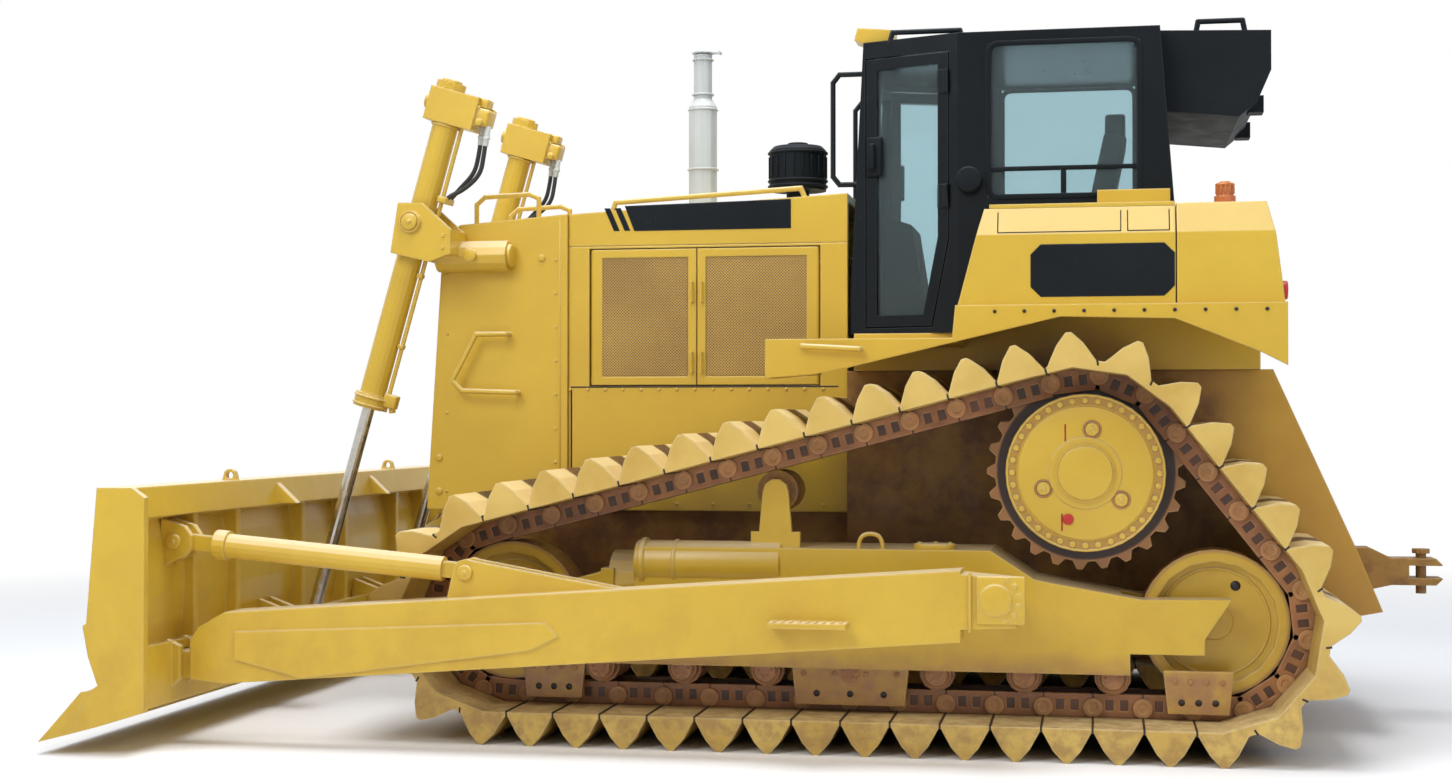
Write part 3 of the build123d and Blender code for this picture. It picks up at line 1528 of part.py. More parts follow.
# Fixed glass of the cab: both sides, windscreen and rear window
with BuildPart() as cab_glass:
    for side in sides:
        with BuildSketch(side_plane(side * (cab_half - glass_depth))):
            with Locations((side_window_x, side_window_z)):
                Rectangle(side_window_length, side_window_height)
        extrude(amount=side * glass_thick)
    with BuildSketch(window_plane(cab_front_x, screen_low_z, screen_high_z, 1)):
        Rectangle(2 * screen_half, screen_high_z - screen_low_z - 2 * glass_play)
    extrude(amount=-glass_thick)
    with BuildSketch(window_plane(cab_rear_x, screen_low_z, rear_window_high_z, -1)):
        Rectangle(2 * rear_window_half, rear_window_high_z - screen_low_z - 2 * glass_play)
    extrude(amount=-glass_thick)
write(cab_glass.part, "cab_glass")

# Air conditioner housing behind the roof, with its lamps and hand rail
unit_top_z = cab_top_z - roof_unit_fall
unit_rail = [
    (-1915.0, 0.9 * roof_unit_half, unit_top_z - bar_root),
    (-1930.0, 0.9 * roof_unit_half, unit_top_z + 1.7 * roof_rail_rise),
    (-2135.0, 0.9 * roof_unit_half, unit_top_z + 1.7 * roof_rail_rise),
    (-2150.0, 0.9 * roof_unit_half, unit_top_z - bar_root),
]
with BuildPart() as roof_unit:
    with BuildSketch(side_plane(roof_unit_half)):
        outline(
            (cab_rear_x(cab_top_z) - seam, cab_top_z),
            (roof_unit_rear_x, unit_top_z),
            (roof_unit_rear_x, cab_top_z - roof_unit_back),
            (-roof_unit_belly[0], cab_top_z - roof_unit_belly[1]),
            (-roof_unit_low[0], cab_top_z - roof_unit_low[1]),
            (cab_rear_x(cab_top_z - roof_unit_depth) - seam, cab_top_z - roof_unit_depth),
        )
    extrude(amount=2 * roof_unit_half)
    for side in sides:
        with BuildSketch(Plane.XY.offset(cab_top_z - roof_unit_belly[1] - rear_lamp[2] / 2)):
            with Locations((-roof_unit_belly[0], side * rear_lamp_y)):
                Rectangle(rear_lamp[0], rear_lamp[1])
        extrude(amount=rear_lamp[2])
        for plane, length in bar_pieces([(x, side * y, z) for x, y, z in unit_rail]):
            with BuildSketch(plane):
                RegularPolygon(bar_r, bar_sides)
            extrude(amount=length)
write(roof_unit.part, "roof_unit")

# Work lamps on the roof's front corners
with BuildPart() as work_lamps:
    with BuildSketch(side_plane(work_lamp_y + work_lamp_width / 2)):
        outline(
            (cab_front_top_x, cab_top_z),
            (work_lamp_front_x, cab_top_z + 0.25 * work_lamp_height),
            (work_lamp_front_x - 15, cab_top_z + work_lamp_height),
            (work_lamp_front_x - work_lamp_length, cab_top_z + 0.8 * work_lamp_height),
            (work_lamp_front_x - work_lamp_length, cab_top_z),
        )
    extrude(amount=work_lamp_width)
    mirror(about=Plane.XZ)
write(work_lamps.part, "work_lamps")

# Seat inside the cab
cab_floor_z = cab_step_z + cab_wall
seat_rear_x = seat_x - seat_width / 2
with BuildPart() as seat:
    with BuildSketch(Plane.XY.offset(cab_floor_z)):
        with Locations((seat_x, 0)):
            Rectangle(seat_base, seat_base)
    extrude(amount=seat_z - cab_floor_z)
    with BuildSketch(Plane.XY.offset(seat_z)):
        with Locations((seat_x, 0)):
            Rectangle(seat_width, seat_width)
    extrude(amount=seat_pad)
    with BuildSketch(side_plane(seat_width / 2 - 10)):
        outline(
            (seat_rear_x + seat_pad, seat_z),
            (seat_rear_x + seat_pad, seat_z + 70),
            (seat_rear_x, seat_back_top_z),
            (seat_rear_x - 90, seat_back_top_z),
            (seat_rear_x - 20, seat_z),
        )
    extrude(amount=seat_width - 20)
    with BuildSketch(side_plane(headrest_width / 2)):
        outline(
            (seat_rear_x + 10, seat_back_top_z - 50),
            (seat_rear_x + 10, headrest_top_z),
            (seat_rear_x - 80, headrest_top_z),
            (seat_rear_x - 80, seat_back_top_z - 50),
        )
    extrude(amount=headrest_width)
write(seat.part, "seat")

# Console with the levers
console_floor_z = cab_low_z + cab_wall
with BuildPart() as console:
    with BuildSketch(side_plane(console_half)):
        outline(
            (console_front_x, console_floor_z),
            (console_front_x - 20, console_top_z),
            (console_front_x - 140, console_top_z - 40),
            (console_front_x - console_depth, console_floor_z),
        )
    extrude(amount=2 * console_half)
write(console.part, "console")

# Fenders over the tracks, with a step in front of each door
fender_low_z = fender_top_z - fender_plate
step_bar_y = cab_half + step_bar_beside
fender_grab = [
    (-150.0, fender_outer_y - bar_root, step_top_z - 35),
    (-150.0, fender_outer_y + 3 * bar_r, step_top_z - 35),
    (-410.0, fender_outer_y + 3 * bar_r, step_top_z - 50),
    (-410.0, fender_outer_y - bar_root, step_top_z - 50),
]
with BuildPart() as fenders:
    with BuildSketch(side_plane(fender_outer_y)):
        outline(
            (fender_rear_x, fender_top_z),
            (step_rear_x, fender_top_z),
            (step_rear_x + step_slant, step_top_z),
            (step_front_x, step_top_z),
            (step_front_x, step_low_z),
            *fender_arch,
            (fender_rear_x, fender_tail_z),
        )
    extrude(amount=fender_plate)
    with BuildSketch(side_plane(fender_outer_y - fender_plate)):
        outline(
            (fender_rear_x, fender_top_z),
            (step_rear_x, fender_top_z),
            (step_rear_x + step_slant, step_top_z),
            (step_front_x, step_top_z),
            (step_front_x, step_top_z - fender_plate),
            (step_rear_x - clearance, step_top_z - fender_plate),
            (step_rear_x - fender_plate, fender_low_z),
            (fender_rear_x, fender_low_z),
        )
    extrude(amount=fender_outer_y - fender_plate - deck_half)
    with BuildSketch(side_plane(deck_half)):
        outline(
            (fender_rear_x, fender_top_z),
            (step_rear_x - fender_plate / 2, fender_top_z),
            (step_rear_x - fender_plate / 2, fender_low_z),
            (fender_rear_x, fender_low_z),
        )
    extrude(amount=deck_half)
    # front bracket of the step
    with BuildSketch(side_plane(fender_outer_y)):
        outline(
            (step_front_x, step_low_z),
            (bracket_front_x, step_low_z - bracket_drop),
            (bracket_front_x, step_top_z),
            (step_front_x, step_top_z),
        )
    extrude(amount=bracket_width)
    # step up to the roof, between the cab and the side box
    with BuildSketch(side_plane(step_bar_y + step_bar_thick)):
        outline(
            (step_bar_rear_x, fender_top_z),
            (step_bar_front_x, fender_top_z),
            (step_bar_front_x, step_bar_top_z),
            (step_bar_rear_x, step_bar_top_z),
        )
    extrude(amount=step_bar_thick)
    for plane, length in bar_pieces(fender_grab):
        with BuildSketch(plane):
            RegularPolygon(bar_r, bar_sides)
        extrude(amount=length)
    mirror(about=Plane.XZ)
write(fenders.part, "fenders")

# Floor between the fenders that carries the cab
deck_step_x = step_rear_x - fender_plate / 2
with BuildPart() as deck:
    with BuildSketch(side_plane(deck_half)):
        outline(
            (deck_front_x, case_top_z),
            (deck_front_x, cab_low_z),
            (deck_step_x, cab_low_z),
            (deck_step_x, fender_low_z),
            (tail_top_x + 3 * fender_plate, fender_low_z),
            (tail_top_x + 3 * fender_plate, case_top_z),
        )
    extrude(amount=2 * deck_half)
write(deck.part, "deck")


# Side boxes on the fenders, each with a lid hinged beside the cab, and the tank behind them


def box_section(side, top_z):
    """The boxes' cross-section, with their slanting shoulder, from the cab's side outward."""
    return (
        (side * box_inner_y, fender_top_z),
        (side * box_outer_y, fender_top_z),
        (side * box_outer_y, box_shoulder_z),
        (side * (box_outer_y - box_chamfer), top_z),
        (side * box_inner_y, top_z),
    )


lid_low_z = box_top_z - lid_thick
lid_hinge_r = lid_thick / 2 - lid_gap / 2
lid_width = box_outer_y - box_chamfer - box_inner_y
for side in sides:
    with BuildPart() as side_box:
        with BuildSketch(cross_plane(box_front_x)):
            outline(*box_section(side, lid_low_z))
        extrude(amount=box_rear_x - box_front_x)
        with BuildSketch(side_plane(box_outer_y + clearance)):
            outline(
                (box_front_x, fender_top_z),
                (box_front_x - box_slant, box_top_z),
                (box_front_x + box_slant, box_top_z),
                (box_front_x + box_slant, fender_top_z),
            )
        extrude(amount=2 * (box_outer_y + clearance), mode=Mode.SUBTRACT)
    write(side_box.part, f"side_box_{side_names[side]}")
    lid_middle = ((lid_front_x + box_rear_x) / 2, side * (box_inner_y + (lid_width + lid_hinge_r) / 2))
    with BuildPart() as lid:
        with BuildSketch(Plane.XY.offset(lid_low_z + lid_gap)):
            with Locations(lid_middle):
                Rectangle(lid_front_x - box_rear_x, lid_width - lid_hinge_r)
        extrude(amount=lid_thick - lid_gap)
        with BuildSketch(cross_plane(box_rear_x)):
            with Locations((side * (box_inner_y + lid_hinge_r), lid_low_z + lid_gap + lid_hinge_r)):
                Circle(lid_hinge_r)
        extrude(amount=lid_front_x - box_rear_x)
    write(lid.part, f"box_lid_{side_names[side]}")

with BuildPart() as fuel_tank:
    with BuildSketch(side_plane(box_outer_y)):
        outline(
            (tank_front_x, fender_top_z),
            (tank_front_x, tank_top_z),
            (tank_rear_top_x, tank_top_z),
            tank_rear_mid,
            (tank_rear_low_x, fender_top_z),
        )
    extrude(amount=2 * box_outer_y)
    with BuildSketch(cross_plane(fender_rear_x)):
        outline(
            (-box_outer_y, fender_top_z),
            (box_outer_y, fender_top_z),
            (box_outer_y, box_shoulder_z),
            (box_outer_y - box_chamfer, tank_top_z),
            (box_chamfer - box_outer_y, tank_top_z),
            (-box_outer_y, box_shoulder_z),
        )
    extrude(amount=tank_front_x - fender_rear_x, mode=Mode.INTERSECT)
    # the cab's back stands into the tank's front
    with BuildSketch(side_plane(cab_half + clearance)):
        outline(
            (tank_front_x + clearance, fender_top_z),
            (cab_rear_low_x - clearance, fender_top_z),
            (cab_rear_x(tank_top_z) - clearance, tank_top_z),
            (tank_front_x + clearance, tank_top_z),
        )
    extrude(amount=2 * (cab_half + clearance), mode=Mode.SUBTRACT)
write(fuel_tank.part, "fuel_tank")

with BuildPart() as filler_cap:
    with BuildSketch(Plane.XY.offset(tank_top_z)):
        with Locations((tank_cap_x, tank_cap_y)):
            RegularPolygon(tank_cap_r, roller_sides)
    extrude(amount=tank_cap / 2)
    with BuildSketch(Plane.XY.offset(tank_top_z + tank_cap / 2)):
        with Locations((tank_cap_x, tank_cap_y)):
            RegularPolygon(0.8 * tank_cap_r, roller_sides)
    extrude(amount=tank_cap / 2)
write(filler_cap.part, "filler_cap")
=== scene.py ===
import bpy
import math
from mathutils import Euler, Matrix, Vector


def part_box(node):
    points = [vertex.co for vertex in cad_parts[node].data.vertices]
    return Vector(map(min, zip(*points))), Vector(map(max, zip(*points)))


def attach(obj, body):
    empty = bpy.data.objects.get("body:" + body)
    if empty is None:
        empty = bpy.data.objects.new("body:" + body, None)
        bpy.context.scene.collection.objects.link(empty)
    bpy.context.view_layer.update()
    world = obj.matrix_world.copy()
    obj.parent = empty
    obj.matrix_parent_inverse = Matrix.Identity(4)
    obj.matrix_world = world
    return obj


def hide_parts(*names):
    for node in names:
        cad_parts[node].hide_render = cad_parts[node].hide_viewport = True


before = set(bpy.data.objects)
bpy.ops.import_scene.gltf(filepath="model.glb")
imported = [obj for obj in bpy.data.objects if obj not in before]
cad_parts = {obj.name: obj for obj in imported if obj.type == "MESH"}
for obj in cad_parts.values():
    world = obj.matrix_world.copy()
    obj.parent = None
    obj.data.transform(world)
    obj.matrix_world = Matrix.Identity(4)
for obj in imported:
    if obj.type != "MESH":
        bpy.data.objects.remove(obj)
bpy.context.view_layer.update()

sides = (("left", 1), ("right", -1))
print("stage: frame loaded")

# camera at the photograph's view
view = {"place": (-1.474, 10.08, 1.469), "yaw": 10.82, "pitch": 0.778, "lens": 48.7}
yaw, pitch = math.radians(view["yaw"]), math.radians(view["pitch"])
bpy.ops.object.camera_add(location=view["place"])
camera = bpy.context.object
ahead = Vector((math.cos(pitch) * math.sin(yaw), -math.cos(pitch) * math.cos(yaw), math.sin(pitch)))
camera.rotation_euler = ahead.to_track_quat("-Z", "Y").to_euler()
camera.data.lens = view["lens"]
camera.data.sensor_width = 36
bpy.context.scene.camera = camera
bpy.context.scene.view_settings.view_transform = "Standard"


# small helpers for modelling and for material nodes
def clearSelection():
    if bpy.context.object and bpy.context.object.mode != "OBJECT":
        bpy.ops.object.mode_set(mode="OBJECT")
    bpy.ops.object.select_all(action="DESELECT")


def pickOnly(obj):
    clearSelection()
    obj.select_set(True)
    bpy.context.view_layer.objects.active = obj


def bakePlace(obj):
    pickOnly(obj)
    bpy.ops.object.transform_apply(location=True, rotation=True, scale=True)


def editAll(obj):
    pickOnly(obj)
    bpy.ops.object.mode_set(mode="EDIT")
    bpy.ops.mesh.select_all(action="SELECT")


def pickFaces(obj, test):
    # selects the faces whose middle and normal pass the test, then goes to edit mode
    pickOnly(obj)
    bpy.ops.object.mode_set(mode="EDIT")
    bpy.ops.mesh.select_mode(type="FACE")
    bpy.ops.mesh.select_all(action="DESELECT")
    bpy.ops.object.mode_set(mode="OBJECT")
    for face in obj.data.polygons:
        face.select = bool(test(face.center, face.normal))
    bpy.ops.object.mode_set(mode="EDIT")


def roundEdges(obj, width, segments=2, angle=30):
    pickOnly(obj)
    bevel = obj.modifiers.new("bevel", "BEVEL")
    bevel.width = width
    bevel.segments = segments
    bevel.limit_method = "ANGLE"
    bevel.angle_limit = math.radians(angle)
    bpy.ops.object.modifier_apply(modifier=bevel.name)


def smooth(obj, angle=35):
    pickOnly(obj)
    bpy.ops.object.shade_smooth_by_angle(angle=math.radians(angle))


def smoothAll(pieces):
    for piece in pieces:
        smooth(piece)


def joinPieces(pieces, name):
    clearSelection()
    for piece in pieces:
        piece.select_set(True)
    bpy.context.view_layer.objects.active = pieces[0]
    if len(pieces) > 1:
        bpy.ops.object.join()
    pieces[0].name = name
    pieces[0].data.name = name
    bakePlace(pieces[0])
    return pieces[0]


def copyTo(obj, place, turn=(0, 0, 0)):
    twin = obj.copy()
    twin.data = obj.data.copy()
    bpy.context.collection.objects.link(twin)
    twin.location = place
    twin.rotation_euler = turn
    return twin


def removePiece(obj):
    bpy.data.objects.remove(obj)


def finishPiece(obj, material, body):
    # a piece that has its own materials already keeps them
    if material:
        obj.data.materials.clear()
        obj.data.materials.append(material)
    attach(obj, body)
    return obj


def assemble(pieces, name, material, body="machine"):
    return finishPiece(joinPieces(pieces, name), material, body)


def plate(size, place, turn=(0, 0, 0)):
    bpy.ops.mesh.primitive_cube_add(size=1, location=place, rotation=turn, scale=size)
    return bpy.context.object


def disc(radius, depth, place, turn=(math.pi / 2, 0, 0), sides=24):
    bpy.ops.mesh.primitive_cylinder_add(vertices=sides, radius=radius, depth=depth, location=place,
                                        rotation=turn)
    return bpy.context.object


def ring(major, minor, place, turn=(math.pi / 2, 0, 0)):
    bpy.ops.mesh.primitive_torus_add(major_segments=40, minor_segments=10, major_radius=major,
                                     minor_radius=minor, location=place, rotation=turn)
    return bpy.context.object


def shaft(start, end, radius, sides=16):
    start, end = Vector(start), Vector(end)
    turn = (end - start).to_track_quat("Z", "Y").to_euler()
    return disc(radius, (end - start).length, (start + end) / 2, turn, sides)


def trim(obj, width, segments=2):
    # a plain form gets its place in its mesh, softened edges and smooth shading
    bakePlace(obj)
    roundEdges(obj, width, segments)
    smooth(obj)
    return obj


def pipe(route, radius):
    # a bent pipe or hose along a smooth line through a few points
    curve = bpy.data.curves.new("pipe", "CURVE")
    curve.dimensions = "3D"
    curve.bevel_depth = radius
    curve.bevel_resolution = 3
    curve.use_fill_caps = True
    line = curve.splines.new("NURBS")
    line.points.add(len(route) - 1)
    for point, place in zip(line.points, route):
        point.co = (*place, 1)
    line.order_u = 3
    line.use_endpoint_u = True
    line.resolution_u = 8
    obj = bpy.data.objects.new("pipe", curve)
    bpy.context.collection.objects.link(obj)
    pickOnly(obj)
    bpy.ops.object.convert(target="MESH")
    smooth(bpy.context.object)
    return bpy.context.object


def seatOn(name, start, towards):
    # where a line from start first meets a CAD node, and which way the surface faces there
    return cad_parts[name].ray_cast(Vector(start), Vector(towards).normalized())[1:3]


class Graph:
    # a material's nodes, made in the order they are used
    def __init__(self, name):
        self.material = bpy.data.materials.new(name)
        self.material.use_nodes = True
        self.nodes = self.material.node_tree.nodes
        self.links = self.material.node_tree.links
        self.shader = self.nodes["Principled BSDF"]
        self.place = self.nodes.new("ShaderNodeTexCoord").outputs["Object"]

    def add(self, kind, values=None, inputs=None):
        node = self.nodes.new("ShaderNode" + kind)
        for key, value in (values or {}).items():
            setattr(node, key, value)
        for key, value in (inputs or {}).items():
            socket = node.inputs[key]
            if isinstance(value, bpy.types.NodeSocket):
                self.links.new(value, socket)
            else:
                socket.default_value = value
        return node

    def noise(self, scale, detail=4, roughness=0.55):
        return self.add("TexNoise", None, {"Vector": self.place, "Scale": scale, "Detail": detail,
                                           "Roughness": roughness}).outputs[0]

    def remap(self, value, low, high, outLow=0, outHigh=1):
        return self.add("MapRange", None, {0: value, 1: low, 2: high, 3: outLow, 4: outHigh}).outputs[0]

    def math(self, operation, first, second=0):
        return self.add("Math", {"operation": operation}, {0: first, 1: second}).outputs[0]

    def times(self, first, second):
        return self.math("MULTIPLY", first, second)

    def length(self, first, second):
        return self.math("SQRT", self.math("ADD", self.times(first, first), self.times(second, second)))

    def mix(self, factor, first, second):
        node = self.add("Mix", {"data_type": "RGBA"})
        for index, value in ((0, factor), (6, first), (7, second)):
            if isinstance(value, bpy.types.NodeSocket):
                self.links.new(value, node.inputs[index])
            else:
                node.inputs[index].default_value = value
        return node.outputs[2]

    def part(self, axis):
        return self.add("SeparateXYZ", None, {0: self.place}).outputs[axis]

    def bump(self, height, strength, distance):
        node = self.add("Bump", None, {"Height": height, "Strength": strength, "Distance": distance})
        self.links.new(node.outputs[0], self.shader.inputs["Normal"])
        return node

    def feed(self, key, value):
        if isinstance(value, bpy.types.NodeSocket):
            self.links.new(value, self.shader.inputs[key])
        else:
            self.shader.inputs[key].default_value = value


# the track loop: the places of its links, from its wheels
track = {"pitch": 0.216, "count": 43, "chainY": 1.1175, "idlerR": 0.383, "lug": 0.192, "rearX": -1.960,
         "sprocketR": 0.417, "sprocket": (-1.404, 1.233)}


def trackRuns(frontX):
    # arcs and straight runs in turn: length, wheel, radius, direction of the normal and turn
    rise = track["lug"] + track["idlerR"]
    wheels = [(track["rearX"], rise, track["idlerR"]), (frontX, rise, track["idlerR"]),
              (track["sprocket"][0], track["sprocket"][1], track["sprocketR"])]
    runs = []
    for here, there in zip(wheels, wheels[1:] + wheels[:1]):
        gap = math.hypot(there[0] - here[0], there[1] - here[1])
        heading = math.atan2(there[1] - here[1], there[0] - here[0])
        smaller = here[2] - there[2]
        runs.append((heading - math.acos(smaller / gap), math.sqrt(gap ** 2 - smaller ** 2)))
    pieces = []
    for index, (x, z, radius) in enumerate(wheels):
        turn = (runs[index][0] - runs[index - 1][0]) % (2 * math.pi)
        linkAngle = 2 * math.atan(track["pitch"] / 2 / radius)
        pieces.append((turn / linkAngle * track["pitch"], x, z, radius, runs[index - 1][0], turn))
        pieces.append((runs[index][1], x, z, radius, runs[index][0], 0.0))
    return pieces


def linkPlaces():
    # the front idler is set where the loop takes a whole number of links
    frontX = 0.0
    for attempt in range(40):
        frontX += (track["count"] * track["pitch"] - sum(piece[0] for piece in trackRuns(frontX))) / 2
    places = []
    for link in range(track["count"]):
        travel = link * track["pitch"]
        for length, x, z, radius, start, turn in trackRuns(frontX):
            if travel < length:
                break
            travel -= length
        normal = start + turn * travel / length
        ahead = travel if turn == 0 else 0
        places.append((x + radius * math.cos(normal) - ahead * math.sin(normal),
                       z + radius * math.sin(normal) + ahead * math.cos(normal), normal))
    return places, frontX


places, frontIdlerX = linkPlaces()


def edgeMask(graph, radius):
    # how much a point lies at an edge: the rounded normal turns away from the face's own
    soft = graph.add("Bevel", {"samples": 4}, {"Radius": radius}).outputs[0]
    flat = graph.add("NewGeometry").outputs["Normal"]
    dot = graph.add("VectorMath", {"operation": "DOT_PRODUCT"}, {0: soft, 1: flat}).outputs["Value"]
    return graph.remap(dot, 0.995, 0.8), soft


def farFrom(graph, x, z):
    # distance from an axle that runs across the machine
    acrossX = graph.math("SUBTRACT", graph.part(0), x)
    acrossZ = graph.math("SUBTRACT", graph.part(2), z)
    return graph.length(acrossX, acrossZ)


def enamel(name, colour, wearAndShade=None):
    # brushed-on enamel: cloudy tone, painted highlight on up-facing tops and on edges, grime low down
    graph = Graph(name)
    edge, soft = edgeMask(graph, colour["edgeWidth"])
    tone = graph.mix(graph.remap(graph.noise(1.3, 5), 0.35, 0.68), colour["deep"], colour["base"])
    tone = graph.mix(graph.remap(graph.noise(14, 6), 0.45, 0.75, 0, 0.35), tone, colour["deep"])
    facing = graph.add("SeparateXYZ", None, {0: graph.add("NewGeometry").outputs["Normal"]}).outputs[2]
    # painted highlight: faces that point up are mixed towards the pale top tone
    tone = graph.mix(graph.remap(facing, 0.15, 0.9, 0, colour["litTopShare"]), tone, colour["top"])
    low = graph.remap(graph.part(2), colour["dustTop"], colour["dustTop"] - 0.7)
    grime = graph.times(graph.remap(graph.noise(5, 8, 0.65), 0.42, 0.62), low)
    tone = graph.mix(graph.times(grime, colour["dustShare"]), tone, colour["dust"])
    if wearAndShade:
        tone = wearAndShade(graph, tone)
    # painted highlight: edges are mixed towards the pale edge tone
    tone = graph.mix(graph.times(edge, colour["edgeHighlightShare"]), tone, colour["edge"])
    graph.feed("Base Color", tone)
    graph.feed("Roughness", graph.remap(graph.noise(9, 4), 0.3, 0.7, *colour["gloss"]))
    graph.feed("Specular IOR Level", colour["shine"])
    graph.feed("Coat Weight", colour["coat"])
    graph.feed("Coat Roughness", 0.18)
    bump = graph.bump(graph.noise(55, 3), 0.12, 0.002)
    graph.links.new(soft, bump.inputs["Normal"])
    return graph.material


# the top tone is a painted highlight for faces that point up, and the edge tone a painted highlight along
# edges
yellow = {"base": (0.635, 0.418, 0.040, 1), "deep": (0.570, 0.360, 0.032, 1), "edge": (0.86, 0.66, 0.26, 1),
          "edgeWidth": 0.012, "edgeHighlightShare": 0.55, "top": (0.77, 0.67, 0.49, 1), "litTopShare": 0.65,
          "dust": (0.26, 0.12, 0.032, 1), "dustTop": 1.1, "dustShare": 0.16, "gloss": (0.30, 0.44),
          "shine": 0.4, "coat": 0.12}
# painted shade: a dark brown enamel for the parts that sit in shadow, darker still low down
shade = dict(yellow, base=(0.40, 0.215, 0.040, 1), deep=(0.26, 0.125, 0.030, 1), dust=(0.12, 0.05, 0.022, 1),
             dustTop=2.2, dustShare=0.8, gloss=(0.45, 0.62), coat=0.0, edgeHighlightShare=0.3, litTopShare=0.1)
silver = dict(yellow, base=(0.58, 0.61, 0.59, 1), deep=(0.46, 0.49, 0.48, 1), edge=(0.75, 0.76, 0.75, 1),
              top=(0.7, 0.7, 0.7, 1), dustShare=0.0, gloss=(0.28, 0.42), coat=0.3)
blackGloss = dict(yellow, base=(0.008, 0.011, 0.014, 1), deep=(0.004, 0.006, 0.008, 1),
                  edge=(0.07, 0.08, 0.09, 1), edgeWidth=0.008, edgeHighlightShare=0.5, top=(0.03, 0.035, 0.04, 1),
                  dustShare=0.0, gloss=(0.18, 0.28), shine=0.13, coat=0.05)
blackPlastic = dict(blackGloss, gloss=(0.50, 0.62), coat=0.0, shine=0.12, edgeHighlightShare=0.3)
steel = dict(yellow, base=(0.46, 0.205, 0.072, 1), deep=(0.27, 0.105, 0.038, 1), edge=(0.70, 0.42, 0.18, 1),
             top=(0.50, 0.26, 0.10, 1), dust=(0.06, 0.024, 0.013, 1), dustTop=3.0, dustShare=0.4,
             gloss=(0.36, 0.55), coat=0.15)
# painted shade: a near black for sunk windows, seams, grooves and holes, and the colour of the fender's dark
# screws
shadeAndDarkTone = dict(steel, base=(0.012, 0.005, 0.003, 1), deep=(0.006, 0.003, 0.002, 1),
                 edge=(0.03, 0.013, 0.008, 1), top=(0.02, 0.009, 0.005, 1), dustShare=0)
orange = dict(yellow, base=(0.50, 0.14, 0.03, 1), deep=(0.40, 0.10, 0.02, 1), edge=(0.75, 0.32, 0.10, 1),
              top=(0.7, 0.3, 0.1, 1), dustShare=0)
red = dict(yellow, base=(0.50, 0.025, 0.012, 1), deep=(0.40, 0.02, 0.01, 1), edge=(0.6, 0.08, 0.04, 1),
           top=(0.55, 0.05, 0.03, 1), dustShare=0)
boss = dict(steel, base=(0.58, 0.30, 0.11, 1), deep=(0.42, 0.19, 0.07, 1), edge=(0.80, 0.52, 0.24, 1))
wornSteel = {"tooth": (0.42, 0.20, 0.07, 1), "gold": (0.42, 0.235, 0.045, 1),
             "root": (0.035, 0.014, 0.008, 1), "rim": (0.34, 0.17, 0.06, 1)}
# radii where each tone gives way to the next
toothRing = {"gold": (0.296, 0.300), "root": (0.341, 0.344), "tooth": (0.388, 0.398)}
idlerRim = (0.300, 0.318)
tail = {"x": (-1.95, -2.25), "paint": ((0.50, 0.27, 0.035, 1), (0.60, 0.36, 0.045, 1)),
        "low": (0.28, 0.13, 0.035, 1)}


def sprocketWear(graph, tone):
    # bare teeth outside the painted hub, with a dark ring at their roots
    far = farFrom(graph, *track["sprocket"])
    steelTone = graph.mix(graph.remap(far, *toothRing["tooth"]), wornSteel["root"], wornSteel["tooth"])
    tone = graph.mix(graph.remap(far, *toothRing["gold"]), tone, wornSteel["gold"])
    return graph.mix(graph.remap(far, *toothRing["root"]), tone, steelTone)


def idlerWear(graph, tone):
    # the rim that the rails run on is worn to brown steel
    rise = track["lug"] + track["idlerR"]
    far = graph.math("MINIMUM", farFrom(graph, track["rearX"], rise), farFrom(graph, frontIdlerX, rise))
    return graph.mix(graph.remap(far, *idlerRim), tone, wornSteel["rim"])


def frameWear(graph, tone):
    # oil and earth cover the beams' undersides and the guards beside the chain
    low = graph.remap(graph.part(2), 0.45, 0.33)
    patchy = graph.remap(graph.noise(7, 6, 0.6), 0.30, 0.60, 0.35, 1)
    return graph.mix(graph.times(low, patchy), tone, wornSteel["rim"])


def caseShadeAndTail(graph, tone):
    # painted shade: inside the loop of the track the case gets the dark shade enamel, at the tail it is
    # painted like the rest and darker towards the bottom
    share = graph.remap(graph.part(0), *tail["x"])
    paint = graph.mix(graph.remap(graph.noise(2, 5), 0.35, 0.65), *tail["paint"])
    paint = graph.mix(graph.remap(graph.part(2), 1.5, 0.7, 0, 0.45), paint, tail["low"])
    return graph.mix(share, tone, paint)


yellowPaint = enamel("yellowPaint", yellow)
shadedPaint = enamel("shadedPaint", shade)
casePaint = enamel("casePaint", shade, caseShadeAndTail)
sprocketPaint = enamel("sprocketPaint", yellow, sprocketWear)
idlerPaint = enamel("idlerPaint", yellow, idlerWear)
framePaint = enamel("framePaint", yellow, frameWear)
silverPaint = enamel("silverPaint", silver)
blackPaint = enamel("blackPaint", blackGloss)
blackMoulded = enamel("blackMoulded", blackPlastic)
chainSteel = enamel("chainSteel", steel)
shadeAndDarkSteel = enamel("shadeAndDarkSteel", shadeAndDarkTone)
bossSteel = enamel("bossSteel", boss)
orangePlastic = enamel("orangePlastic", orange)
redPaint = enamel("redPaint", red)

# tones of the other materials, from dark to light; the shoes' top and edge tones are painted highlights
shoeTones = {"paint": ((0.50, 0.31, 0.055, 1), (0.64, 0.44, 0.11, 1)), "top": (0.78, 0.64, 0.36, 1),
             "scuffed": (0.25, 0.12, 0.04, 1), "edge": (0.84, 0.70, 0.40, 1), "edgeWidth": 0.014,
             "oiled": ((0.040, 0.017, 0.010, 1), (0.12, 0.048, 0.024, 1)), "strip": (0.15, 0.11)}
otherTones = {"glass": ((0.55, 0.70, 0.74, 1), (0.61, 0.75, 0.78, 1)),
              "chrome": ((0.42, 0.40, 0.36, 1), (0.62, 0.60, 0.55, 1)),
              "cloth": ((0.012, 0.012, 0.014, 1), (0.035, 0.035, 0.04, 1)),
              "rubber": ((0.006, 0.006, 0.007, 1), (0.018, 0.018, 0.018, 1))}


